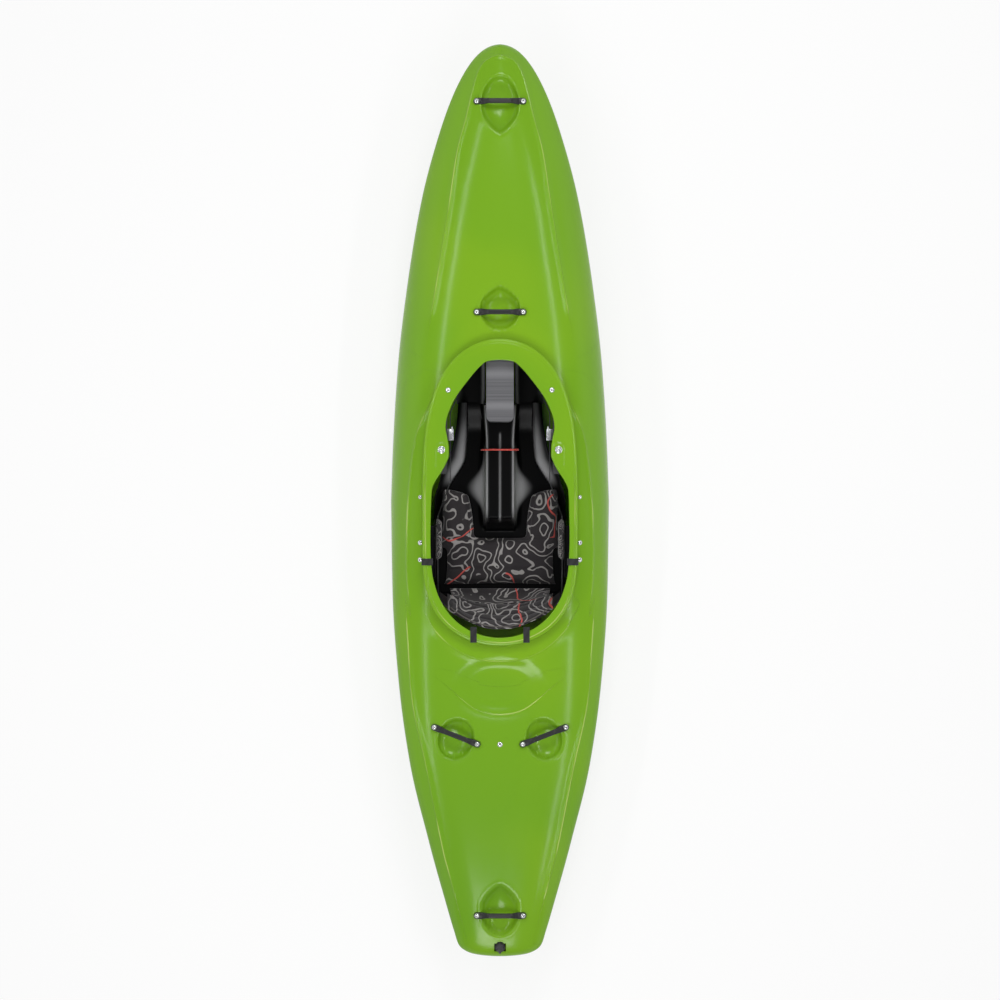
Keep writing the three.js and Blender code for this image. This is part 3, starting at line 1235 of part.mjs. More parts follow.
// Foot pedals: each slides along a rail that is bolted inside the hull's side.
const f = foot;
const railTop = f.level + f.railHeight * half;
const railRearX = roomHalfWidth(f.rearY, railTop) - f.rearInset;
const railFrontX = roomHalfWidth(f.frontY, railTop) - f.frontInset;
const railAngle = Math.atan2(railRearX - railFrontX, f.frontY - f.rearY);
const railLength = Math.hypot(railRearX - railFrontX, f.frontY - f.rearY);
const railMiddle = [(railRearX + railFrontX) * half, (f.rearY + f.frontY) * half, f.level];
sides.forEach((side) => {
  const name = side < 0 ? 'left' : 'right';
  const inPlace = (solid) => {
    const right = solid.rotate([0, 0, railAngle / degrees]).translate(railMiddle);
    return side > 0 ? right : mirrored(right);
  };
  const rail = box(0, f.railThickness, -railLength * half, railLength * half,
    -f.railHeight * half, f.railHeight * half)
    .subtract(box(-overrun, f.grooveDepth, -railLength * half - overrun, railLength * half
      + overrun, -f.grooveHeight * half, f.grooveHeight * half));
  addPiece(`foot_rail_${name}`, inPlace(rail).intersect(innerRoom), 'railAluminium');
  const key = f.grooveHeight * half - boltGap;
  const carriage = box(-f.carriageDepth, -seatGap, -f.carriageLength * half,
    f.carriageLength * half, -f.carriageHeight * half, f.carriageHeight * half)
    .add(box(-f.carriageDepth, f.grooveDepth - seatGap, -f.carriageLength * half,
      f.carriageLength * half, -key, key));
  const pedal = box(-f.carriageDepth - f.pedalWidth, -f.carriageDepth * half,
    f.carriageLength * half - f.pedalThickness, f.carriageLength * half,
    -f.pedalHeight * f.dropShare, f.pedalHeight * (1 - f.dropShare));
  const moves = [-f.travel, -f.travel * half, 0, f.travel * half, f.travel];
  const pedalRoom = moves.map((move) => innerRoom.translate(
    [side * move * Math.sin(railAngle), -move * Math.cos(railAngle), 0]))
    .reduce((room, next) => room.intersect(next));
  addPiece(`foot_pedal_${name}`, inPlace(carriage.add(pedal)).intersect(pedalRoom), 'blackPlastic');
});

export default kayak;
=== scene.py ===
"""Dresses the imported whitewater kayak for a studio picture.

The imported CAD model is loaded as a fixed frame. Every piece of it is then replaced by a finer
piece of the same size in the same place, with its finish. The hull's shape is worked out here
from the same table of sections as the solid's, in millimetres, on a fine grid.
"""
from __future__ import annotations

import logging
import math
from dataclasses import dataclass, field, replace
from enum import Enum, StrEnum
from functools import partial
from typing import Callable, Sequence

import bmesh
import bpy
import numpy as np
from mathutils import Matrix, Vector


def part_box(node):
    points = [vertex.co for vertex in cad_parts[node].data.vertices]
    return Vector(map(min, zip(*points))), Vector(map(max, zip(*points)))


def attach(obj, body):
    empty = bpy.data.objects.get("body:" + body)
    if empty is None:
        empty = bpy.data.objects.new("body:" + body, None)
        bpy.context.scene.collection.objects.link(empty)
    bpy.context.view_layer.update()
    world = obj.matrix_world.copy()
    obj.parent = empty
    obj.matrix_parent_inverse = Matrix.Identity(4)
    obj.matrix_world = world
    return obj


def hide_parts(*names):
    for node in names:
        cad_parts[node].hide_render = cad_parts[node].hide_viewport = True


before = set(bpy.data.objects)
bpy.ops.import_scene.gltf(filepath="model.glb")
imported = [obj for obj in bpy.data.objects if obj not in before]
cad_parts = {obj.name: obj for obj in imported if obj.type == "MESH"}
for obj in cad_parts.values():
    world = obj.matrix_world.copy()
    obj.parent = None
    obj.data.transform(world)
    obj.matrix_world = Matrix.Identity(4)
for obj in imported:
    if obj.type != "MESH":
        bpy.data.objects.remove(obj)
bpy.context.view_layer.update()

LOG = logging.getLogger("kayak")
MM = 0.001
FLAT_ANGLE = 4.0
BEVEL_ANGLE = 32.0
SHARP_ANGLE = 40.0
SOFT = {"interpolation_type": "SMOOTHSTEP"}
COLOURS = {"data_type": "RGBA"}

Array = np.ndarray
Piece = bpy.types.Object
Tree = bpy.types.NodeTree
Socket = bpy.types.NodeSocket
Adder = Callable[..., Socket]
Inputs = dict[object, object] | Sequence[object]
Point = tuple[float, float, float]
Faces = list[tuple[int, ...]]
Curve = Callable[[Array], Array]


class Side(Enum):
    """The two sides of the boat, with the sign of X on each."""

    LEFT = -1
    RIGHT = 1

    @property
    def word(self) -> str:
        """The side's name in node names."""
        return self.name.lower()


class Body(StrEnum):
    """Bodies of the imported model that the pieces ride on."""

    SHELL = "shell"
    SEAT = "seat"
    BACKBAND = "backband"
    DRAIN_SEAL = "drain_seal"
    DRAIN_PLUG = "drain_plug"


def linear(code: str) -> tuple[float, float, float, float]:
    """Turns an sRGB hex code into a linear colour.

    Args:
        code: six hex digits with a leading #.

    Returns:
        Red, green, blue and an alpha of one.
    """
    parts = [int(code[i:i + 2], 16) / 255 for i in (1, 3, 5)]
    red, green, blue = (p / 12.92 if p <= 0.04045 else ((p + 0.055) / 1.055) ** 2.4 for p in parts)
    return red, green, blue, 1.0


def feed(tree: Tree, plug: Socket, value: object) -> None:
    """Links an input to another node's socket, or sets it to a value.

    Args:
        tree: the node tree.
        plug: the input.
        value: a socket, an sRGB hex code or a plain value.
    """
    if isinstance(value, Socket):
        tree.links.new(value, plug)
    else:
        plug.default_value = linear(value) if isinstance(value, str) else value


def add_node(tree: Tree, kind: str, inputs: Inputs = (), output: str | int = 0,
             **settings: object) -> Socket:
    """Adds a shader node.

    Args:
        tree: the node tree that it goes into.
        kind: the node's type, without its ShaderNode prefix.
        inputs: what feeds its inputs, in their order or by name or number.
        output: name or number of the output that is wanted.
        settings: the node's properties.

    Returns:
        The output.
    """
    node = tree.nodes.new("ShaderNode" + kind)
    for name, value in settings.items():
        setattr(node, name, value)
    for name, value in inputs.items() if isinstance(inputs, dict) else enumerate(inputs):
        feed(tree, node.inputs[name], value)
    return node.outputs[output]


def blots(place: Socket, size_mm: float, detail: float = 2.0) -> dict[str, object]:
    """Inputs of a noise texture at a place, with blots about as wide as a size in millimetres."""
    return {"Vector": place, "Scale": 1.0 / (size_mm * MM), "Detail": detail, "Roughness": 0.55}


@dataclass(frozen=True)
class Finish:
    """What every finish shares: a name, a slot's name, a base colour and the shine.

    Subclasses add their grain, weave or marks in relief and colour.
    """

    name: str
    slot: str
    colour: str
    roughness: float = 0.5
    metallic: float = 0.0
    ior: float = 1.5

    def make(self) -> bpy.types.Material:
        """Builds the material once and hands the same one out afterwards.

        Returns:
            The material.
        """
        material = bpy.data.materials.get(self.name)
        if material is None:
            material = bpy.data.materials.new(self.name)
            material.use_nodes = True
            material.diffuse_color = linear(self.colour)
            tree = material.node_tree
            plugs = tree.nodes["Principled BSDF"].inputs
            for name, value in (("Base Color", self.colour), ("Roughness", self.roughness),
                                ("Metallic", self.metallic), ("IOR", self.ior),
                                *self.dress(partial(add_node, tree)).items()):
                feed(tree, plugs[name], value)
        return material

    def dress(self, add: Adder) -> dict[str, object]:
        """Adds the finish's own nodes.

        Args:
            add: adds a node to the material.

        Returns:
            What feeds the shader's inputs, by their names.
        """
        return {}


@dataclass(frozen=True)
class MouldedPolyethylene(Finish):
    """Rotomoulded polyethylene: powder melted on the inside of a mould.

    The colour goes right through. The skin is satin with a faint orange peel. The green leans
    to yellow in broad soft patches and deepens towards the stern. A yellower tint on the rim
    and the deck round it is painted light, and paler lines on the creases and the rim's bead
    are painted highlights.
    """

    # The yellower colour tints random patches and is painted light near the rim; the pale colour is
    # painted highlight.
    warm_tone_and_light: str = "#84af1b"
    deep: str = "#699b1d"
    pale: str = "#d3e27e"
    patch_mm: float = 420.0
    peel_mm: float = 9.0
    peel_depth_mm: float = 0.1
    crease_mm: float = 3.6
    crease_depth_mm: float = 1.5

    def dress(self, add: Adder) -> dict[str, object]:
        """Adds soft patches of colour, painted light, painted crease highlights and the orange peel.

        Args:
            add: adds a node to the material.

        Returns:
            What feeds the shader's inputs, by their names.
        """
        place = add("TexCoord", output="Object")
        along = add("SeparateXYZ", (place,), "Y")
        aft = add("MapRange", (along, -0.35, -1.3), **SOFT)
        body = add("Mix", {0: aft, 6: self.colour, 7: self.deep}, 2, **COLOURS)
        patches = add("TexNoise", blots(place, self.patch_mm, 1.0))
        sunny = add("MapRange", (patches, 0.5, 0.72, 0.0, 0.35), **SOFT)
        body = add("Mix", {0: sunny, 6: body, 7: self.warm_tone_and_light}, 2, **COLOURS)
        # Painted light: a yellower tint where the rim and the deck round it catch the light.
        lip = add("Attribute", output="Fac", attribute_name="painted_warm_light")
        body = add("Mix", {0: lip, 6: body, 7: self.warm_tone_and_light}, 2, **COLOURS)
        # Painted highlight: paler lines along the creases and the rim's bead, in patches.
        gap = add("Attribute", output="Fac", attribute_name="crease")
        gap = add("Math", (gap,), operation="ABSOLUTE")
        edge = add("MapRange", (gap, self.crease_mm * 0.15, self.crease_mm * 0.7, 0.5, 0.0), **SOFT)
        highlight_share = add("TexNoise", blots(place, self.patch_mm * 0.6, 1.0))
        highlight_share = add("MapRange", (highlight_share, 0.44, 0.6, 0.08), **SOFT)
        edge = add("Math", (edge, highlight_share), operation="MULTIPLY")
        body = add("Mix", {0: edge, 6: body, 7: self.pale}, 2, **COLOURS)
        peel = add("TexNoise", blots(place, self.peel_mm, 3.0))
        shine = add("MapRange", (peel, 0.3, 0.7, self.roughness - 0.02, self.roughness + 0.03), **SOFT)
        line = add("MapRange", (gap, 0.0, self.crease_mm, 1.0, 0.0), **SOFT)
        crisp = add("Bump", {"Height": line, "Strength": 0.8, "Distance": self.crease_depth_mm * MM})
        bumps = add("Bump", {"Height": peel, "Strength": 0.15, "Normal": crisp,
                             "Distance": self.peel_depth_mm * MM})
        return {"Base Color": body, "Roughness": shine, "Normal": bumps}


@dataclass(frozen=True)
class MouldedPlastic(Finish):
    """Injection or vacuum moulded ABS and nylon: a fine spark-eroded grain from the mould.

    Sharp edges are a little paler, partly from wear and partly as painted highlight.
    A mask adds painted highlights, such as those on the seat's ridges.
    """

    grain_mm: float = 1.4
    grain_depth_mm: float = 0.05
    # The paler colour and its share on sharp edges are partly wear and partly painted highlight.
    wear_and_highlight: str = "#3a3b3d"
    edge_wear_and_highlight_share: float = 0.35

    def dress(self, add: Adder) -> dict[str, object]:
        """Adds the mould's grain, paler edges from wear and painted highlight, and masked highlights.

        Args:
            add: adds a node to the material.

        Returns:
            What feeds the shader's inputs, by their names.
        """
        place = add("TexCoord", output="Object")
        grain = add("TexNoise", blots(place, self.grain_mm, 3.0))
        # Sharp edges turn paler: partly wear, partly painted highlight.
        edges = add("NewGeometry", output="Pointiness")
        edges = add("MapRange", (edges, 0.53, 0.6, 0.0, self.edge_wear_and_highlight_share), **SOFT)
        # The mask's share is painted highlight.
        highlight_share = add("Attribute", output="Fac", attribute_name="rub")
        highlight_share = add("Math", (edges, highlight_share), operation="MAXIMUM")
        body = add("Mix", {0: highlight_share, 6: self.colour, 7: self.wear_and_highlight}, 2, **COLOURS)
        shine = add("MapRange", (grain, 0.3, 0.7, self.roughness - 0.04, self.roughness + 0.06), **SOFT)
        bumps = add("Bump", {"Height": grain, "Strength": 0.5, "Distance": self.grain_depth_mm * MM})
        return {"Base Color": body, "Roughness": shine, "Normal": bumps}


@dataclass(frozen=True)
class ContourCloth(Finish):
    """Printed polyester over foam: a plain weave with map-like contour lines on it.

    The lines are the level lines of a noise, in grey, with parts of a second noise's in red. The
    threads are drawn at a few times their real size, so that they show.
    """

    line: str = "#aaa6a4"
    accent: str = "#e05a52"
    # In this cloth the colour is a darker yarn tone on the crossings that stand up.
    shade: str = "#141214"
    thread_mm: float = 1.6
    thread_depth_mm: float = 0.25
    motif_mm: float = 95.0
    levels: float = 12.0
    line_mm: float = 2.7
    accent_motif_mm: float = 230.0
    accent_shift: Point = (2.79, 1.58, 2.07)
    rise: float = 1.0
    slope_step_mm: float = 2.0

    def dress(self, add: Adder) -> dict[str, object]:
        """Adds the printed level lines, the weave and the sheen of brushed yarn.

        Args:
            add: adds a node to the material.

        Returns:
            What feeds the shader's inputs, by their names.
        """
        place = add("TexCoord", output="Object")
        cut = add("Mapping", {"Vector": place, "Scale": (1.0, 1.0, self.rise)})
        printed = self.level_lines(add, cut, self.motif_mm, self.levels)
        where = add("VectorMath", (cut, self.accent_shift), operation="ADD")
        red_line = self.level_lines(add, where, self.accent_motif_mm, 1.0)
        some = add("TexNoise", blots(where, self.accent_motif_mm * 0.6, 0.0))
        some = add("MapRange", (some, 0.5, 0.51), **SOFT)
        red_line = add("Math", (red_line, some), operation="MULTIPLY")
        body = add("Mix", {0: printed, 6: self.colour, 7: self.line}, 2, **COLOURS)
        body = add("Mix", {0: red_line, 6: body, 7: self.accent}, 2, **COLOURS)
        threads = self.weave(add, place)
        dark = add("Math", (threads, 0.25), operation="MULTIPLY")
        body = add("Mix", {0: dark, 6: body, 7: self.shade}, 2, **COLOURS)
        bumps = add("Bump", {"Height": threads, "Strength": 0.6, "Distance": self.thread_depth_mm * MM})
        return {"Base Color": body, "Sheen Weight": 0.25, "Sheen Roughness": 0.5, "Normal": bumps}

    def level_lines(self, add: Adder, place: Socket, size_mm: float, levels: float) -> Socket:
        """Level lines of a noise, all of one width however steep the noise is.

        Args:
            add: adds a node to the material.
            place: coordinates in metres.
            size_mm: width of the noise's blots.
            levels: number of levels between nought and one.

        Returns:
            A socket with one on the lines.
        """
        here = add("TexNoise", blots(place, size_mm, 1.5))
        slopes = []
        for axis in range(3):
            step = tuple(self.slope_step_mm * MM * (axis == i) for i in range(3))
            moved = add("VectorMath", (place, step), operation="ADD")
            there = add("TexNoise", blots(moved, size_mm, 1.5))
            climb = add("Math", (there, here), operation="SUBTRACT")
            slopes.append(add("Math", (climb, levels / self.slope_step_mm), operation="MULTIPLY"))
        steep = add("CombineXYZ", slopes)
        steep = add("VectorMath", (steep,), "Value", operation="LENGTH")
        steep = add("Math", (steep, 0.0015 * levels), operation="ADD")
        level = add("Math", (here, levels), operation="MULTIPLY")
        level = add("Math", (level,), operation="FRACT")
        level = add("Math", (level, 0.5), operation="SUBTRACT")
        level = add("Math", (level,), operation="ABSOLUTE")
        gap = add("Math", (level, steep), operation="DIVIDE")
        return add("MapRange", (gap, self.line_mm * 0.35, self.line_mm * 0.6, 1.0, 0.0), **SOFT)

    def weave(self, add: Adder, place: Socket) -> Socket:
        """The height of a plain weave: a checkerboard of crossings that stand up or lie low.

        Args:
            add: adds a node to the material.
            place: coordinates in metres.

        Returns:
            A socket with one on the crossings that stand up.
        """
        turns = math.tau / (2 * self.thread_mm * MM)
        waves = []
        for axis in "XYZ":
            run = add("SeparateXYZ", (place,), axis)
            phase = add("Math", (run, turns), operation="MULTIPLY")
            waves.append(add("Math", (phase,), operation="SINE"))
        level = add("Math", waves[:2], operation="MULTIPLY")
        upright = add("Math", waves[1:], operation="MULTIPLY")
        both = add("Math", (level, upright), operation="ADD")
        return add("MapRange", (both, -0.8, 0.8, 1.0, 0.0), **SOFT)


@dataclass(frozen=True)
class SkivedFoam(Finish):
    """Closed-cell polyethylene foam, split from a block by a blade.

    The blade leaves fine lines across the pillar, with painted shadow in their grooves, and the
    cells give a dull grey speckle.
    """

    pale: str = "#7b7b7e"
    # The darker colour is painted shadow in the grooves of the blade's lines.
    dark: str = "#57575a"
    cut_mm: float = 5.0
    cut_depth_mm: float = 0.5
    band_mm: float = 60.0
    cell_mm: float = 2.2

    def dress(self, add: Adder) -> dict[str, object]:
        """Adds the blade's lines across the pillar with painted shadow, and the cells between them.

        Args:
            add: adds a node to the material.

        Returns:
            What feeds the shader's inputs, by their names.
        """
        place = add("TexCoord", output="Object")
        run = add("SeparateXYZ", (place,), "Y")
        along = add("CombineXYZ", (0.0, run, 0.0))
        lines = add("TexNoise", blots(along, self.cut_mm, 4.0))
        # Painted shadow: the low parts of the blade's lines are darker.
        share = add("MapRange", (lines, 0.35, 0.65), **SOFT)
        body = add("Mix", {0: share, 6: self.dark, 7: self.colour}, 2, **COLOURS)
        bands = add("TexNoise", blots(along, self.band_mm, 1.0))
        share = add("MapRange", (bands, 0.45, 0.7), **SOFT)
        body = add("Mix", {0: share, 6: body, 7: self.pale}, 2, **COLOURS)
        cells = add("TexNoise", blots(place, self.cell_mm))
        cells = add("Math", (cells, 0.6), operation="MULTIPLY")
        both = add("Math", (lines, cells), operation="ADD")
        bumps = add("Bump", {"Height": both, "Strength": 0.7, "Distance": self.cut_depth_mm * MM})
        return {"Base Color": body, "Normal": bumps}


@dataclass(frozen=True)
class Metal(Finish):
    """Stainless steel and aluminium, turned, pressed or drawn.

    Very fine scratches run one way and break up the reflection a little. They are drawn a little
    coarser than life, so that they show.
    """

    scratch_mm: float = 0.8
    scratch_depth_mm: float = 0.02
    streak: float = 12.0

    def dress(self, add: Adder) -> dict[str, object]:
        """Adds the scratches.

        Args:
            add: adds a node to the material.

        Returns:
            What feeds the shader's inputs, by their names.
        """
        place = add("TexCoord", output="Object")
        drawn = add("Mapping", {"Vector": place, "Scale": (1.0, 1.0 / self.streak, 1.0)})
        marks = add("TexNoise", blots(drawn, self.scratch_mm, 4.0))
        shine = add("MapRange", (marks, 0.3, 0.7, self.roughness * 0.8, self.roughness * 1.25), **SOFT)
        bumps = add("Bump", {"Height": marks, "Strength": 0.4, "Distance": self.scratch_depth_mm * MM})
        return {"Roughness": shine, "Normal": bumps}


@dataclass(frozen=True)
class Webbing(Finish):
    """Woven polyester strap and braided cord: ribs of yarn across the width."""

    rib_mm: float = 2.0
    rib_depth_mm: float = 0.3
    # A paler colour, painted as highlight on the crowns of the ribs.
    shade: str = "#2b2b2e"

    def dress(self, add: Adder) -> dict[str, object]:
        """Adds the ribs and a painted highlight on the crowns of the yarns.

        Args:
            add: adds a node to the material.

        Returns:
            What feeds the shader's inputs, by their names.
        """
        place = add("TexCoord", output="Object")
        lean = add("Mapping", {"Vector": place, "Rotation": (0.5, 0.6, 0.7)})
        ribs = add("TexWave", {"Vector": lean, "Scale": 1.0 / (self.rib_mm * MM) / 20,
                               "Distortion": 0.4, "Detail": 1.0}, "Fac")
        fibres = add("TexNoise", blots(place, self.rib_mm * 0.7))
        # Painted highlight: the crowns of the ribs are paler.
        crown = add("Math", (ribs, fibres), operation="MULTIPLY")
        body = add("Mix", {0: crown, 6: self.colour, 7: self.shade}, 2, **COLOURS)
        bumps = add("Bump", {"Height": ribs, "Strength": 0.7, "Distance": self.rib_depth_mm * MM})
        return {"Base Color": body, "Sheen Weight": 0.3, "Normal": bumps}


class Finishes:
    """The boat's finishes, each with the name of a slot."""

    shell = MouldedPolyethylene("rotomoulded_polyethylene", "shell_green", "#72a41c", 0.18, ior=1.34)
    # Paler sharp edges on these plastics are partly wear and partly painted highlight.
    handle = MouldedPlastic("moulded_nylon_black", "handle_black", "#121314", 0.42, ior=1.53,
                            grain_mm=1.2, grain_depth_mm=0.04, wear_and_highlight="#303133", edge_wear_and_highlight_share=0.3)
    drain = MouldedPlastic("moulded_nylon_plug", "drain_black", "#0c0c0d", 0.38, ior=1.53,
                           grain_mm=1.0, grain_depth_mm=0.03, wear_and_highlight="#262728", edge_wear_and_highlight_share=0.3)
    # The seat's near-white mix colour is painted highlight, laid on by the mask on its tray and wings.
    seat = MouldedPlastic("vacuum_formed_abs", "seat_black", "#040405", 0.32, ior=1.22,
                          grain_mm=1.6, wear_and_highlight="#cfcfd1", edge_wear_and_highlight_share=0.0)
    fitting = MouldedPlastic("moulded_nylon_fitting", "frame_black", "#141415", 0.45, ior=1.53,
                             wear_and_highlight="#333436", edge_wear_and_highlight_share=0.3)
    cloth = ContourCloth("printed_polyester_cover", "fabric_dark", "#2e292c", 0.85)
    hip_cloth = ContourCloth("printed_polyester_zebra", "fabric_dark", "#2e292c", 0.85, line="#a09c99",
                             accent="#c84b46", motif_mm=60.0, levels=20.0, line_mm=1.6,
                             accent_motif_mm=500.0)
    band_cloth = ContourCloth("printed_polyester_band", "fabric_dark", "#2b2629", 0.85, rise=0.4)
    piping = Finish("polyester_piping", "fabric_dark", "#595553", 0.8)
    pillar = SkivedFoam("skived_polyethylene_foam", "pillar_foam", "#68686b", 0.92)
    foam = SkivedFoam("black_closed_cell_foam", "foam_black", "#1b1b1c", 0.92, pale="#262627",
                      dark="#121213")
    steel = Metal("polished_stainless_steel", "steel", "#d6d8da", 0.16, 1.0)
    ratchet = Metal("satin_aluminium", "ratchet_metal", "#c3c5c8", 0.32, 1.0)
    rail = Metal("anodised_aluminium", "rail_aluminium", "#9ea1a5", 0.4, 1.0)
    webbing = Webbing("woven_polyester_webbing", "webbing", "#121214", 0.8)
    cord = Webbing("braided_red_sleeve", "bungee_red", "#e0463c", 0.62, rib_mm=1.4, shade="#f0665a")
    seal = Finish("moulded_rubber_seal", "seal_rubber", "#0f0f0f", 0.65)


def curve_through(points: Sequence[tuple[float, float]]) -> Curve:
    """A smooth curve through [place, value] points that never overshoots between them.

    Args:
        points: places in rising order with the value at each.

    Returns:
        A function from places to values.
    """
    place, value = np.array(points, float).T
    span = np.diff(place)
    slope = np.diff(value) / span
    tangent = np.zeros(len(place))
    tangent[0], tangent[-1] = slope[0], slope[-1]
    same = slope[:-1] * slope[1:] > 0
    total = np.where(same, slope[:-1] + slope[1:], 1.0)
    tangent[1:-1] = np.where(same, 2 * slope[:-1] * slope[1:] / total, 0.0)

    def read(x: Array) -> Array:
        """The curve's values at places.

        Args:
            x: places.

        Returns:
            The values there.
        """
        i = np.clip(np.searchsorted(place, x, side="right") - 1, 0, len(span) - 1)
        t = np.clip((x - place[i]) / span[i], 0, 1)
        t2, t3 = t * t, t * t * t
        return (value[i] * (2 * t3 - 3 * t2 + 1) + value[i + 1] * (3 * t2 - 2 * t3)
                + span[i] * (tangent[i] * (t3 - 2 * t2 + t) + tangent[i + 1] * (t3 - t2)))

    return read


def smooth(x: Array) -> Array:
    """A soft step from nought to one as x goes from nought to one."""
    t = np.clip(x, 0, 1)
    return t * t * (3 - 2 * t)


@dataclass(frozen=True)
class EndShape:
    """The curves of one half of the boat, read over the root of the distance from its tip."""

    tip: float
    width: Curve
    keel: Curve
    seam: Curve
    deck: Curve
    squareness: Curve
    roundness: Curve
    flat: Curve


@dataclass(frozen=True)
class Section:
    """A section across the hull at one or many places along it, in millimetres."""

    width: Array
    keel: Array
    seam: Array
    deck: Array
    squareness: Array
    roundness: Array
    flat: Array


@dataclass
class HullLines:
    """The lines of the hull: the same table of widths and heights as the solid's, in millimetres."""

    length: float = 2734.0
    beam: float = 656.0
    seam_height: float = 182.0
    mid_deck: float = 332.0
    bottom_squareness: float = 2.3
    bottom_roundness: float = 1.8
    wall: float = 5.0
    bow: EndShape = field(init=False)
    stern: EndShape = field(init=False)

    def __post_init__(self) -> None:
        """Sets up the curves of the bow and of the stern."""
        self.bow = EndShape(262.0, *map(curve_through, (
            [(0, 0), (0.1, 0.19), (0.24, 0.435), (0.32, 0.567), (0.41, 0.713),
             (0.51, 0.845), (0.59, 0.933), (0.66, 0.98), (0.7072, 1)],
            [(0, 0), (0.1, 0.19), (0.2, 0.37), (0.3, 0.542), (0.4, 0.718),
             (0.5, 0.878), (0.57, 0.975), (0.615, 1), (0.7072, 1)],
            [(0, 0), (0.1, 0.01), (0.2, 0.05), (0.3, 0.15), (0.4, 0.3),
             (0.5, 0.525), (0.6, 0.775), (0.7072, 1)],
            [(0, 0), (0.04, 0.25), (0.1, 0.49), (0.2, 0.86), (0.3, 1.09),
             (0.4, 1.21), (0.5, 1.28), (0.6, 1.22), (0.7072, 1)],
            [(0, 1.7), (0.25, 1.8), (0.45, 2.6), (0.6, 3.6), (0.7072, 4)],
            [(0, 1.15), (0.3, 1.25), (0.6, 1.55), (0.7072, 1.6)],
            [(0, 0.1), (0.25, 0.3), (0.5, 0.5), (0.62, 0.55), (0.7072, 0.55)])))
        self.stern = EndShape(185.0, *map(curve_through, (
            [(0, 0), (0.06, 0.27), (0.11, 0.375), (0.17, 0.424), (0.25, 0.506),
             (0.36, 0.66), (0.46, 0.825), (0.55, 0.93), (0.63, 0.985),
             (0.7072, 1)],
            [(0, 0), (0.1, 0.19), (0.2, 0.395), (0.3, 0.578), (0.4, 0.762),
             (0.5, 0.914), (0.58, 0.99), (0.615, 1), (0.7072, 1)],
            [(0, 0), (0.3, 0.2), (0.7072, 1)],
            [(0, 0), (0.04, 0.11), (0.07, 0.17), (0.1, 0.2), (0.2, 0.28),
             (0.3, 0.35), (0.4, 0.415), (0.5, 0.47), (0.6, 0.63), (0.66, 0.85),
             (0.7072, 1)],
            [(0, 3.2), (0.4, 3.4), (0.6, 3.8), (0.7072, 4)],
            [(0, 1.5), (0.7072, 1.6)],
            [(0, 0.3), (0.3, 0.45), (0.62, 0.55), (0.7072, 0.55)])))

    def section(self, y: Array, inset: float = 0.0) -> Section:
        """The sections at places along the boat.

        Args:
            y: places along the boat.
            inset: how far the form lies inside the outer skin.

        Returns:
            Half widths, heights and roundness of the sections.
        """
        y = np.asarray(y, float)
        root = np.sqrt(np.clip(self.length / 2 - np.abs(y), 0, None) / self.length)
        bow = y > 0

        def read(name: str) -> Array:
            """One of the curves, from the bow's or from the stern's."""
            return np.where(bow, getattr(self.bow, name)(root), getattr(self.stern, name)(root))

        tip = np.where(bow, self.bow.tip, self.stern.tip)
        return Section(
            np.maximum(self.beam / 2 * read("width") - inset, 1e-4),
            tip * (1 - read("keel")) + inset,
            tip + (self.seam_height - tip) * read("seam"),
            tip + (self.mid_deck - tip) * read("deck") - inset,
            read("squareness"), read("roundness"), read("flat"))

    def deck_height(self, x: Array, y: Array, inset: float = 0.0) -> Array:
        """Height of the plain deck, without scoops or creases, over places in plan.

        Args:
            x: places across.
            y: places along.
            inset: how far below the outer skin.

        Returns:
            Heights.
        """
        s = self.section(y, inset)
        t = np.clip(np.abs(x) / s.width, 0, 1)
        return s.seam + (s.deck - s.seam) * (1 - t ** s.squareness) ** (1 / s.roundness)


@dataclass(frozen=True)
class Scoop:
    """A hand scoop in the deck under a grab handle, in millimetres."""

    x: float
    y: float
    half_width: float
    half_length: float
    depth: float
    turn: float
    pointed: int

    def depth_at(self, x: Array, y: Array) -> Array:
        """How far the scoop lowers the deck at places in plan.

        The outline is a leaf: round at one end, and drawn to a soft point at the other.

        Args:
            x: places across.
            y: places along.

        Returns:
            Depths, nought outside the scoop.
        """
        c, s = math.cos(math.radians(self.turn)), math.sin(math.radians(self.turn))
        u = ((x - self.x) * c + (y - self.y) * s) / self.half_width
        v = ((y - self.y) * c - (x - self.x) * s) / self.half_length
        point = smooth((v * self.pointed + 0.1) / 0.9) if self.pointed else 0.0 * v
        radial = np.abs(u) ** (2 - 0.65 * point) + np.abs(v) ** (2 - 0.2 * point)
        bowl = np.clip(1 - radial, 0, 1)
        soft = bowl * bowl / (bowl * bowl + 0.0035) * bowl ** 0.5
        rolled = 2.2 * np.exp(-((radial - 1.0) / 0.16) ** 2) * (radial > 1.0)
        return self.depth * soft - rolled


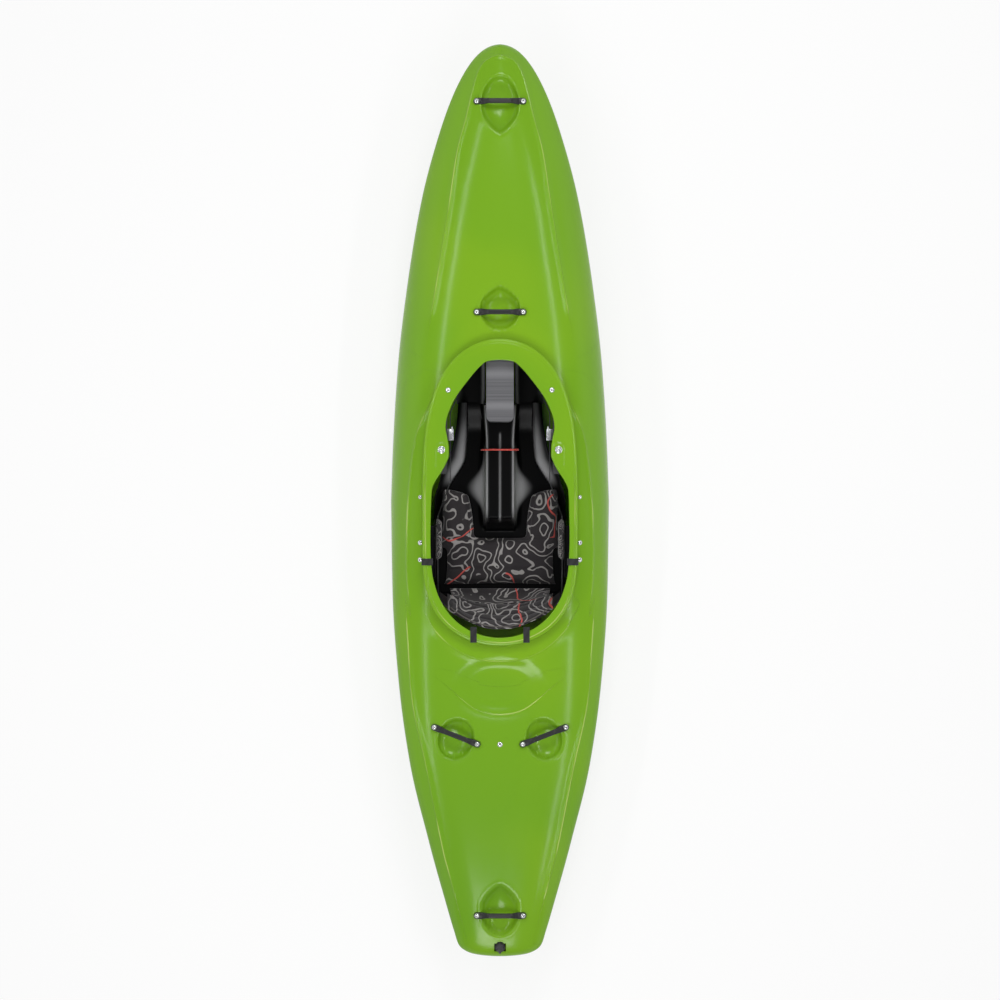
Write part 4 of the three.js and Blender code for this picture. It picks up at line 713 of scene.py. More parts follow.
@dataclass(frozen=True)
class Crease:
    """A soft raised line where two facets of the deck meet, mirrored on the other side.

    The path is a list of [place along, place across] points, and the line fades at both ends.
    """

    path: Sequence[tuple[float, float]]
    height: float = 2.4
    reach: float = 9.0
    fade: float = 70.0

    def line(self) -> Array:
        """The path as a smooth curve, places across and along, square to the middle if it meets it.

        Returns:
            An array of places across and along.
        """
        fixed = np.array(self.path, float)[:, ::-1]
        mirror = fixed[1] * np.array([-1.0, 1.0])
        before = mirror if abs(fixed[0][0]) < 1e-6 else 2 * fixed[0] - fixed[1]
        chain = np.vstack([before, fixed, 2 * fixed[-1] - fixed[-2]])
        t = np.linspace(0, 1, 5, endpoint=False)[:, None]
        parts = [0.5 * (2 * b + (c - a) * t + (2 * a - 5 * b + 4 * c - d) * t ** 2
                        + (3 * b - a - 3 * c + d) * t ** 3)
                 for a, b, c, d in zip(chain, chain[1:], chain[2:], chain[3:])]
        return np.vstack([*parts, fixed[-1:]])

    def height_at(self, x: Array, y: Array) -> Array:
        """How far the crease raises the deck at places across and along."""
        gap, ends = self.gap_at(x, y)
        return self.height * ends * np.exp(-(gap / self.reach) ** 2)

    def gap_at(self, x: Array, y: Array) -> tuple[Array, Array]:
        """Distance from the line of places in plan, with its side as the sign.

        Args:
            x: places across.
            y: places along.

        Returns:
            Distances, and the share of the line's strength there.
        """
        points = self.line()
        best = np.full(x.shape, 1e9)
        along = np.zeros(x.shape)
        side = np.ones(x.shape)
        run = 0.0
        across = np.abs(x)
        for a, b in zip(points[:-1], points[1:]):
            step = b - a
            size = float(np.hypot(*step))
            t = np.clip(((across - a[0]) * step[0] + (y - a[1]) * step[1]) / size ** 2, 0, 1)
            gap = np.hypot(across - a[0] - t * step[0], y - a[1] - t * step[1])
            nearer = gap < best
            best = np.where(nearer, gap, best)
            along = np.where(nearer, run + t * size, along)
            turn = (across - a[0]) * step[1] - (y - a[1]) * step[0]
            side = np.where(nearer, np.where(turn < 0, -1.0, 1.0), side)
            run += size
        ends = smooth(along / self.fade) * smooth((run - along) / self.fade)
        if abs(points[0][0]) < 1e-6:
            ends = smooth((run - along) / self.fade)
        return best * side, ends


@dataclass(frozen=True)
class Dish:
    """A broad shallow hollow or crown in the deck, in millimetres. A crown has a depth below nought."""

    x: float
    y: float
    reach_x: float
    reach_y: float
    depth: float

    def depth_at(self, x: Array, y: Array) -> Array:
        """How far the dish lowers the deck at places across and along."""
        r = np.hypot((x - self.x) / self.reach_x, (y - self.y) / self.reach_y)
        return self.depth * smooth((1 - r) / 0.45)


@dataclass
class Deck:
    """The deck's outer face with its scoops, creases and dishes, in millimetres."""

    lines: HullLines
    scoops: Sequence[Scoop] = (
        Scoop(0, 1182, 57, 87, 34, 0, -1),
        Scoop(0, 575, 60, 65, 32, 0, 1),
        Scoop(-132, -711, 54, 62, 28, -21.3, 0),
        Scoop(132, -711, 54, 62, 28, 21.3, 0),
        Scoop(0, -1226, 57, 79, 30, 0, 1),
    )
    creases: Sequence[Crease] = (
        Crease([(1331, 0), (1322, 30), (1305, 52), (1274, 68), (1218, 84), (1140, 102),
                (1040, 128), (895, 150), (762, 171), (590, 199), (520, 212)], 2.6, 9.0, 60.0),
        Crease([(300, 206), (230, 238), (171, 255), (60, 270), (-60, 278), (-213, 279),
                (-330, 268)], 2.2, 8.0, 60.0),
        Crease([(-300, 283), (-420, 276), (-606, 262), (-795, 221), (-1032, 174), (-1118, 152),
                (-1240, 120)], 2.4, 10.0, 70.0),
        Crease([(-478, 0), (-470, 70), (-440, 135), (-390, 190), (-330, 226)], 2.0, 12.0, 80.0),
        Crease([(-637, 0), (-620, 75), (-560, 150)], 2.2, 16.0, 60.0),
    )
    dishes: Sequence[Dish] = (Dish(0, -548, 150, 92, 9.0),)

    def height(self, x: Array, y: Array) -> Array:
        """Height of the deck's outer face over places in plan.

        Args:
            x: places across.
            y: places along.

        Returns:
            Heights.
        """
        plain = self.lines.deck_height(x, y)
        share = np.clip(np.abs(x) / self.lines.section(y).width, 0, 1)
        quiet = smooth((1 - share) / 0.1)
        tips = smooth((self.lines.length / 2 - np.abs(y)) / 30)
        relief = np.zeros(np.shape(plain))
        for crease in self.creases:
            relief = relief + crease.height_at(x, y)
        for hollow in (*self.scoops, *self.dishes):
            relief = relief - hollow.depth_at(x, y)
        return plain + relief * quiet * tips

    def at(self, x: float, y: float) -> float:
        """Height of the deck's outer face at one place in plan."""
        return float(self.height(np.array([float(x)]), np.array([float(y)]))[0])

    def plain_at(self, x: float, y: float) -> float:
        """Height of the plain deck, as the solid has it, at one place in plan."""
        return float(self.lines.deck_height(np.array([float(x)]), np.array([float(y)]))[0])


@dataclass
class CockpitRim:
    """The cockpit's rim and its keyhole opening, in millimetres.

    Both loops are read by one running share, from the front round one side to the rear.
    """

    front: float = 483.0
    rear: float = -430.0
    widest: float = -110.0
    half_width: float = 231.0
    front_power: float = 4.0
    rear_power: float = 3.2
    front_top: float = 374.0
    rear_top: float = 297.0
    plate: float = 6.0
    overhang: float = 14.0
    wall: float = 5.0
    opening_front: float = 420.0
    opening_rear: float = -406.0
    opening_half: float = 207.0
    keyhole: Sequence[tuple[float, float]] = (
        (0, 0), (0.002, 0.12), (0.0054, 0.19), (0.0182, 0.262), (0.0363, 0.335), (0.0672, 0.438),
        (0.1017, 0.545), (0.1416, 0.652), (0.178, 0.72), (0.214, 0.768), (0.243, 0.78), (0.276, 0.757),
        (0.312, 0.736), (0.341, 0.733), (0.37, 0.771), (0.403, 0.843), (0.432, 0.921),
        (0.468, 0.979), (0.541, 0.993), (0.65, 1), (0.759, 0.979), (0.831, 0.912), (0.882, 0.82),
        (0.926, 0.69), (0.962, 0.52), (0.987, 0.31), (1, 0))

    def __post_init__(self) -> None:
        """Sets up the keyhole's curve over the running share."""
        points = [(math.acos(1 - 2 * s) / math.pi, w * self.opening_half) for s, w in self.keyhole]
        self._opening = curve_through(points)

    def top(self, y: Array) -> Array:
        """Height of the rim's top face at places along the boat."""
        share = (y - self.rear) / (self.front - self.rear)
        return self.rear_top + (self.front_top - self.rear_top) * share

    def loop(self, run: Array, inset: float) -> tuple[Array, Array]:
        """The rim's loop on the right-hand side, drawn in by an inset.

        Args:
            run: running shares from nought at the front to one at the rear.
            inset: distance inside the lip's outer edge.

        Returns:
            Places across and along.
        """
        share = (1 - np.cos(np.pi * run)) / 2
        y = (self.front - inset) - (self.front - self.rear - 2 * inset) * share
        ahead = y > self.widest
        reach = np.where(ahead, self.front - self.widest, self.widest - self.rear) - inset
        power = np.where(ahead, self.front_power, self.rear_power)
        part = np.clip(np.abs(y - self.widest) / reach, 0, 1)
        return (self.half_width - inset) * np.sqrt(np.clip(1 - part ** power, 0, 1)), y

    def opening(self, run: Array) -> tuple[Array, Array]:
        """The keyhole's loop on the right-hand side: places across and along."""
        share = (1 - np.cos(np.pi * run)) / 2
        return self._opening(run), self.opening_front + (self.opening_rear - self.opening_front) * share


def linked(name: str, mesh: bpy.types.Mesh) -> Piece:
    """Makes a piece of a mesh and links it to the scene.

    Args:
        name: the piece's name.
        mesh: its mesh.

    Returns:
        The piece.
    """
    piece = bpy.data.objects.new(name, mesh)
    bpy.context.scene.collection.objects.link(piece)
    return piece


def from_cage(name: str, cage: bmesh.types.BMesh) -> Piece:
    """Makes a piece of an edited mesh.

    Args:
        name: the piece's name.
        cage: the edited mesh, which is used up.

    Returns:
        The piece, linked to the scene.
    """
    mesh = bpy.data.meshes.new(name)
    cage.to_mesh(mesh)
    cage.free()
    return linked(name, mesh)


def add_mesh(name: str, vertices: Array, faces: Sequence[Sequence[int]],
             smooth_shade: bool = True) -> Piece:
    """Makes a piece from points in metres and faces.

    Args:
        name: the piece's name.
        vertices: an array of points.
        faces: corner numbers of each face.
        smooth_shade: whether the faces share their shading.

    Returns:
        The piece, linked to the scene.
    """
    mesh = bpy.data.meshes.new(name)
    mesh.from_pydata([tuple(v) for v in np.asarray(vertices, float)], [], [tuple(f) for f in faces])
    mesh.validate()
    mesh.update()
    if smooth_shade:
        mesh.shade_smooth()
    return linked(name, mesh)


def outward(piece: Piece) -> Piece:
    """Turns a closed mesh's faces outward.

    Args:
        piece: the piece.

    Returns:
        The same piece.
    """
    cage = bmesh.new()
    cage.from_mesh(piece.data)
    bmesh.ops.recalc_face_normals(cage, faces=cage.faces)
    cage.to_mesh(piece.data)
    cage.free()
    return piece


def dressed(piece: Piece, finish: Finish, body: str, *nodes: str) -> None:
    """Gives a new piece its finish, its body and the nodes that it stands for.

    Args:
        piece: the piece.
        finish: its finish.
        body: the body that it moves with.
        nodes: CAD nodes that it replaces.
    """
    piece.data.materials.clear()
    piece.data.materials.append(finish.make())
    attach(piece, body)
    if nodes:
        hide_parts(*nodes)
    LOG.info("%s rides on %s and stands for %s", piece.name, body, ", ".join(nodes) or "nothing")


def apply_modifiers(piece: Piece) -> None:
    """Bakes a piece's modifiers into its mesh.

    Args:
        piece: the piece.
    """
    bpy.context.view_layer.update()
    graph = bpy.context.evaluated_depsgraph_get()
    baked = bpy.data.meshes.new_from_object(piece.evaluated_get(graph))
    piece.modifiers.clear()
    old = piece.data
    piece.data = baked
    bpy.data.meshes.remove(old)


def softened(name: str, node: str, width_mm: float, segments: int = 2) -> Piece:
    """A copy of a CAD node's solid with its sharp edges rounded off.

    Args:
        name: the new piece's name.
        node: the node.
        width_mm: width of the rounding.
        segments: steps in the rounding.

    Returns:
        The rounded piece.
    """
    cage = bmesh.new()
    cage.from_mesh(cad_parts[node].data)
    bmesh.ops.remove_doubles(cage, verts=cage.verts, dist=0.02 * MM)
    bmesh.ops.dissolve_limit(cage, angle_limit=math.radians(FLAT_ANGLE), verts=cage.verts,
                             edges=cage.edges)
    piece = from_cage(name, cage)
    bevel = piece.modifiers.new("rounding", "BEVEL")
    bevel.width = width_mm * MM
    bevel.segments = segments
    bevel.limit_method = "ANGLE"
    bevel.angle_limit = math.radians(BEVEL_ANGLE)
    bevel.use_clamp_overlap = True
    apply_modifiers(piece)
    piece.data.shade_smooth()
    piece.data.set_sharp_from_angle(angle=math.radians(SHARP_ANGLE))
    return piece


def grid_faces(rows: int, columns: int, closed: bool = False, flip: bool = False) -> Faces:
    """Faces of a grid of points stored row by row.

    Args:
        rows: number of rows of points.
        columns: number of points in a row.
        closed: whether each row closes on itself.
        flip: whether the faces look the other way.

    Returns:
        The faces.
    """
    faces = []
    for r in range(rows - 1):
        for c in range(columns if closed else columns - 1):
            d = (c + 1) % columns
            quad = (r * columns + c, r * columns + d, (r + 1) * columns + d, (r + 1) * columns + c)
            faces.append(quad[::-1] if flip else quad)
    return faces


def lofted(name: str, rings: Array | Sequence[Array], smooth_shade: bool = True) -> Piece:
    """A closed form through rings of points in millimetres, with a face over each end.

    Args:
        name: the piece's name.
        rings: the rings, all with the same number of points.
        smooth_shade: whether the faces share their shading.

    Returns:
        The form.
    """
    rows, count = np.shape(rings)[:2]
    faces = [*grid_faces(rows, count, closed=True), tuple(range(count)),
             tuple(range((rows - 1) * count, rows * count))[::-1]]
    return outward(add_mesh(name, np.reshape(rings, (-1, 3)) * MM, faces, smooth_shade))


def turned(profile: Sequence[tuple[float, float]], sides: int = 32) -> tuple[Array, Faces]:
    """A turned form about Z from a profile that starts and ends on the axis.

    Args:
        profile: [radius, height] points in millimetres.
        sides: steps round the axis.

    Returns:
        Points in millimetres and faces.
    """
    angle = np.arange(sides) * math.tau / sides
    rings = np.array(profile[1:-1], float)
    points = np.stack([np.outer(rings[:, 0], np.cos(angle)), np.outer(rings[:, 0], np.sin(angle)),
                       np.repeat(rings[:, 1:], sides, 1)], -1).reshape(-1, 3)
    faces = grid_faces(len(rings), sides, closed=True)
    low, high = len(points), len(points) + 1
    points = np.vstack([points, [[0, 0, profile[0][1]], [0, 0, profile[-1][1]]]])
    last = (len(rings) - 1) * sides
    for c in range(sides):
        d = (c + 1) % sides
        faces += [(low, d, c), (high, last + c, last + d)]
    return points, faces


def rounded_box(low: Point, high: Point, radius: float, steps: int = 3) -> Piece:
    """A box with every edge rounded, in millimetres.

    Args:
        low: lowest corner.
        high: highest corner.
        radius: radius of the edges.
        steps: segments in each rounding.

    Returns:
        The box as an unnamed piece.
    """
    cage = bmesh.new()
    bmesh.ops.create_cube(cage, size=1.0)
    size = Vector(high) - Vector(low)
    middle = (Vector(high) + Vector(low)) / 2
    for v in cage.verts:
        v.co = Vector((v.co.x * size.x, v.co.y * size.y, v.co.z * size.z)) + middle
    bmesh.ops.bevel(cage, geom=cage.edges[:], offset=radius, segments=steps, profile=0.5,
                    affect="EDGES")
    box = from_cage("box", cage)
    box.data.transform(Matrix.Scale(MM, 4))
    box.data.shade_smooth()
    return box


def joined(name: str, pieces: Sequence[Piece]) -> Piece:
    """Joins pieces into one mesh.

    Args:
        name: the joined piece's name.
        pieces: the pieces, which are used up.

    Returns:
        The joined piece.
    """
    cage = bmesh.new()
    for piece in pieces:
        part = piece.data.copy()
        part.transform(piece.matrix_world)
        cage.from_mesh(part)
        bpy.data.meshes.remove(part)
        bpy.data.objects.remove(piece)
    return from_cage(name, cage)


def set_mask(piece: Piece, name: str, values: Array) -> None:
    """Stores a share for each point of a mesh, which the finish reads under the mask's name."""
    layer = piece.data.attributes.get(name) or piece.data.attributes.new(name, "FLOAT", "POINT")
    layer.data.foreach_set("value", np.asarray(values, np.float32))


def positions(piece: Piece) -> Array:
    """The points of a piece's mesh, in metres.

    Args:
        piece: the piece.

    Returns:
        An array of points.
    """
    flat = np.zeros(len(piece.data.vertices) * 3)
    piece.data.vertices.foreach_get("co", flat)
    return flat.reshape(-1, 3)


def set_positions(piece: Piece, points: Array) -> None:
    """Moves the points of a piece's mesh."""
    piece.data.vertices.foreach_set("co", np.asarray(points, float).ravel())
    piece.data.update()


@dataclass
class Shell:
    """The moulded shell: one closed skin of deck, rim, bottom and the inner faces of all three.

    The deck is a fan of lines from the foot of the cockpit's wall to the hull's outline. The
    bottom is a row across at each of the outline's places. Sizes are in millimetres.
    """

    deck: Deck
    rim: CockpitRim
    half_count: int = 250
    deck_steps: int = 150
    bottom_steps: int = 26
    inner_deck_steps: int = 26
    inner_bottom_steps: int = 16
    foot_reach: float = 9.0
    inner_start: float = 0.0707
    lip_steps: int = 6
    bead: float = 1.6
    recess_y: float = 133.0
    recess_x: float = 174.0
    recess_width: float = 34.0
    recess_length: float = 84.0
    recess_depth: float = 2.5
    drain_y: float = -1337.0
    drain_hole: float = 13.0
    far: float = 99.0

    def outline(self, inset: float) -> tuple[Array, Array, Array]:
        """The hull's outline on the right-hand side from the bow to the stern.

        Args:
            inset: how far the form lies inside the outer skin.

        Returns:
            Places across and along, and heights.
        """
        run = np.linspace(0, 1, self.half_count + 1)
        first = self.inner_start if inset else 0.0
        root = first + (math.sqrt(0.5) - first) * (1 - np.abs(1 - 2 * run))
        y = np.sign(0.5 - run + 1e-12) * self.deck.lines.length * (0.5 - root * root)
        s = self.deck.lines.section(y, inset)
        x = s.width.copy()
        x[0] = x[-1] = 0.0
        return x, y, s.seam

    def both(self, x: Array, y: Array, z: Array) -> Array:
        """A loop round the boat from its right-hand half.

        Args:
            x: places across, nought at both ends.
            y: places along.
            z: heights.

        Returns:
            Points of the whole loop.
        """
        right = np.stack([x, y, z], -1)
        left = right[-2:0:-1] * np.array([-1.0, 1.0, 1.0])
        return np.vstack([right, left])

    def spread(self, steps: int) -> Array:
        """Shares of the way from the rim's foot to the outline, closer together at the outline.

        Args:
            steps: number of steps on the way.

        Returns:
            The shares.
        """
        u = np.linspace(0, 1, steps + 1)
        pace = np.where(u < 0.82, 1.0, 1.0 - 0.97 * smooth((u - 0.82) / 0.18) ** 0.7)
        total = np.concatenate([[0], np.cumsum((pace[1:] + pace[:-1]) / 2)])
        return total / total[-1]

    def fan(self, inner: Array, outer: Array, steps: int,
            height: Callable[[Array, Array], Array]) -> Array:
        """Rings of points from an inner loop to an outer one, laid on a height.

        Args:
            inner: the inner loop's points.
            outer: the outer loop's points.
            steps: number of rings after the inner one.
            height: the height over places in plan.

        Returns:
            An array of rings, the last of them the outer loop itself.
        """
        rings = []
        for share in self.spread(steps):
            ring = inner + (outer - inner) * share
            ring[:, 2] = height(ring[:, 0], ring[:, 1])
            rings.append(ring)
        rings[-1] = outer.copy()
        return np.array(rings)

    def lip_top(self, x: Array, y: Array, lip: Array) -> Array:
        """Height of the rim's top face: a plane with a low bead and two oblong recesses.

        Args:
            x: places across.
            y: places along.
            lip: distance inside the lip's outer edge.

        Returns:
            Heights.
        """
        z = self.rim.top(y) + self.bead * np.exp(-((lip - 9.0) / 3.6) ** 2)
        straight = (self.recess_length - self.recess_width) / 2
        gap = np.hypot(np.abs(x) - self.recess_x,
                       np.clip(np.abs(y - self.recess_y) - straight, 0, None))
        inside = smooth((self.recess_width / 2 - gap) / 2.4 + 0.5)
        return z - self.recess_depth * inside

    def rim_rings(self) -> tuple[list[Array], list[float], list[Array]]:
        """Loops up the cockpit's wall, round the lip, over its top and down inside.

        Returns:
            The loops, from the deck's foot to the deck's underside, the share of painted yellow light
            on each one, and how far its points lie from the bead along the rim's sides and rear, where
            a painted highlight line runs.
        """
        run = np.linspace(0, 1, self.half_count + 1)
        rim = self.rim
        rings: list[Array] = []
        painted_warm_light: list[float] = []
        gaps: list[Array] = []

        def add(x: Array, y: Array, z: Array, warm_tone_and_light: float = 0.0,
                gap: Array | None = None) -> None:
            """Adds a loop, its share of painted yellow light and its distance from the bead.

            Args:
                x: places across.
                y: places along.
                z: heights.
                warm_tone_and_light: the loop's share of painted yellow light.
                gap: distances from the bead, or none where it is far.
            """
            x = x.copy()
            x[0] = x[-1] = 0.0
            rings.append(self.both(x, y, z))
            painted_warm_light.append(warm_tone_and_light)
            gap = np.full(x.shape, self.far) if gap is None else gap
            gaps.append(np.concatenate([gap, gap[-2:0:-1]]))

        foot_x, foot_y = rim.loop(run, rim.overhang)
        deck_z = self.deck.height(*rim.loop(run, rim.overhang - self.foot_reach))
        under = rim.top(foot_y) - rim.plate
        # Each loop gets a share of painted yellow light, most on the wall's foot.
        for i in range(1, 6):
            angle = math.pi / 2 * i / 5
            inset = rim.overhang - self.foot_reach * (1 - math.sin(angle))
            x, y = rim.loop(run, inset)
            add(x, y, deck_z + self.foot_reach * (1 - math.cos(angle)), 0.35)
        for share in (0.35, 0.7):
            z = deck_z + self.foot_reach
            add(foot_x, foot_y, z + (under - 4 - z) * share, 0.2)
        for i in range(self.lip_steps + 1):
            angle = math.pi / 2 * i / self.lip_steps
            x, y = rim.loop(run, rim.overhang - 4 * (1 - math.cos(angle)))
            add(x, y, rim.top(y) - rim.plate - 4 * (1 - math.sin(angle)), 0.0)
        half_plate = rim.plate / 2
        for i in range(2 * self.lip_steps + 1):
            angle = -math.pi / 2 + math.pi * i / (2 * self.lip_steps)
            x, y = rim.loop(run, half_plate * (1 - math.cos(angle)))
            add(x, y, rim.top(y) - half_plate + half_plate * math.sin(angle), 0.3)
        outer_x, outer_y = rim.loop(run, half_plate)
        open_x, open_y = rim.opening(run)
        width = np.hypot(open_x - outer_x, open_y - outer_y)
        edge = 3.0
        for share in np.linspace(0, 1, 26)[1:]:
            reach = (width - edge) / width * share
            x = outer_x + (open_x - outer_x) * reach
            y = outer_y + (open_y - outer_y) * reach
            lip = half_plate + width * reach
            # The distance from the bead places a painted highlight line along the rim's sides and rear.
            add(x, y, self.lip_top(x, y, lip), 0.25 * (1 - share),
                np.abs(lip - 9.0) + 0.03 * np.clip(y - 40, 0, None))
        inward_x, inward_y = (open_x - outer_x) / width, (open_y - outer_y) / width
        for i in range(1, 2 * self.lip_steps):
            angle = math.pi / 2 - math.pi * i / (2 * self.lip_steps)
            back = edge - edge * math.cos(angle)
            x, y = open_x - inward_x * back, open_y - inward_y * back
            add(x, y, rim.top(y) - half_plate + half_plate * math.sin(angle), 0.1)
        wall_x, wall_y = rim.loop(run, rim.overhang + rim.wall)
        for share in np.linspace(0, 1, 6):
            x = open_x - inward_x * edge
            y = open_y - inward_y * edge
            x, y = x + (wall_x - x) * share, y + (wall_y - y) * share
            add(x, y, rim.top(y) - rim.plate, 0.0)
        inner_deck = self.deck.lines.deck_height(wall_x, wall_y, self.deck.lines.wall)
        for share in (0.33, 0.66, 1.0):
            z = rim.top(wall_y) - rim.plate
            add(wall_x, wall_y, z + (inner_deck - z) * share, 0.0)
        return rings, painted_warm_light, gaps

    def bottom_rows(self, loop: Array, inset: float, steps: int) -> Array:
        """Rows of inner points across the bottom at each of the outline's places.

        Args:
            loop: the outline's loop.
            inset: how far the form lies inside the outer skin.
            steps: steps from the outline to the keel.

        Returns:
            An array of rows, one for each place between the tips, of the points between the
            right-hand outline and the left-hand one.
        """
        lines = self.deck.lines
        right = loop[1:self.half_count]
        s = lines.section(right[:, 1], inset)
        half = []
        for i in range(1, steps + 1):
            angle = math.pi / 2 * (1 - i / steps)
            t = math.sin(angle) ** (2 / lines.bottom_squareness)
            rise = 1 - math.cos(angle) ** (2 / lines.bottom_roundness)
            x = right[:, 0] * (s.flat + (1 - s.flat) * t)
            half.append(np.stack([x, right[:, 1], s.keel + (right[:, 2] - s.keel) * rise], -1))
        keel = half[-1] * np.array([0.0, 1.0, 1.0])
        flat = [half[-1] + (keel - half[-1]) * share for share in (1 / 3, 2 / 3)]
        row = [*half, *flat]
        mirror = np.array([-1.0, 1.0, 1.0])
        return np.stack([*row, keel, *[p * mirror for p in reversed(row)]], 1)

    def close_bottom(self, faces: Faces, ring: int, rows: Array, start: int,
                     flip: bool) -> None:
        """Adds the bottom's faces between an outline ring and its rows.

        Args:
            faces: the faces so far, which grow.
            ring: number of the outline ring's first point.
            rows: the rows' points.
            start: number of the rows' first point.
            flip: whether the faces look inward.
        """
        count, across = rows.shape[:2]
        around = 2 * self.half_count

        def corner(row: int, column: int) -> int:
            """The number of a point of the bottom, those of its outline among them.

            Args:
                row: the row's number.
                column: the place in the row.

            Returns:
                The point's number.
            """
            if column == 0 or row in (0, self.half_count):
                return ring + row
            if column == across + 1:
                return ring + around - row
            return start + (row - 1) * across + column - 1

        for r in range(count + 1):
            for c in range(across + 1):
                quad = [corner(r, c), corner(r + 1, c), corner(r + 1, c + 1), corner(r, c + 1)]
                quad = [q for i, q in enumerate(quad) if q not in quad[:i]]
                if len(quad) > 2:
                    faces.append(tuple(quad[::-1] if flip else quad))

    def build(self) -> None:
        """Builds the shell and puts it in place of the solid one."""
        lines, around = self.deck.lines, 2 * self.half_count
        rim_loops, rim_painted_warm_light, rim_gaps = self.rim_rings()
        outer = self.both(*self.outline(0.0))
        inner = self.both(*self.outline(lines.wall))
        foot_x, foot_y = self.rim.loop(np.linspace(0, 1, self.half_count + 1),
                                       self.rim.overhang - self.foot_reach)
        foot_x[0] = foot_x[-1] = 0.0
        foot = self.both(foot_x, foot_y, self.deck.height(foot_x, foot_y))
        deck = self.fan(foot, outer, self.deck_steps, self.deck.height)
        under = self.fan(rim_loops[-1], inner, self.inner_deck_steps,
                         lambda x, y: np.minimum(lines.deck_height(x, y, lines.wall),
                                                 self.deck.height(x, y) - lines.wall))
        rings = [*deck[::-1], *rim_loops, *under[1:]]
        faces = grid_faces(len(rings), around, closed=True, flip=True)
        points = np.vstack(rings)
        for loop, ring, inset, steps in (
                (outer, 0, 0.0, self.bottom_steps),
                (inner, (len(rings) - 1) * around, lines.wall, self.inner_bottom_steps)):
            rows = self.bottom_rows(loop, inset, steps)
            self.close_bottom(faces, ring, rows, len(points), inset > 0)
            points = np.vstack([points, rows.reshape(-1, 3)])
        hole = np.hypot(points[:, 0], points[:, 1] - self.drain_y) < self.drain_hole
        hole &= points[:, 2] > lines.seam_height - 20
        kept = [f for f in faces if not any(hole[i] for i in f)]
        piece = add_mesh("shell_skin", points * MM, kept)
        # Painted light: a yellower tint on the deck next to the rim, fading outwards, and on the rim.
        near = np.clip(0.45 * (1 - np.arange(len(deck)) / 16), 0, None)[::-1]
        painted_warm_light = np.repeat([*near, *rim_painted_warm_light], around)
        set_mask(piece, "painted_warm_light", np.pad(painted_warm_light, (0, len(points) - len(painted_warm_light))))
        # The distances from the creases shape their bump and place their painted highlight lines.
        x, y = points[:len(deck) * around, :2].T
        gaps = np.full(len(x), self.far)
        for crease in self.deck.creases:
            gap, ends = crease.gap_at(x, y)
            gap = gap + (1 - ends) * 8 * np.where(gap < 0, -1, 1)
            gaps = np.where(np.abs(gap) < np.abs(gaps), gap, gaps)
        gaps = np.concatenate([gaps, *rim_gaps])
        set_mask(piece, "crease", np.pad(gaps, (0, len(points) - len(gaps)),
                                         constant_values=self.far))
        outward(piece)
        dressed(piece, Finishes.shell, Body.SHELL, "hull_shell")


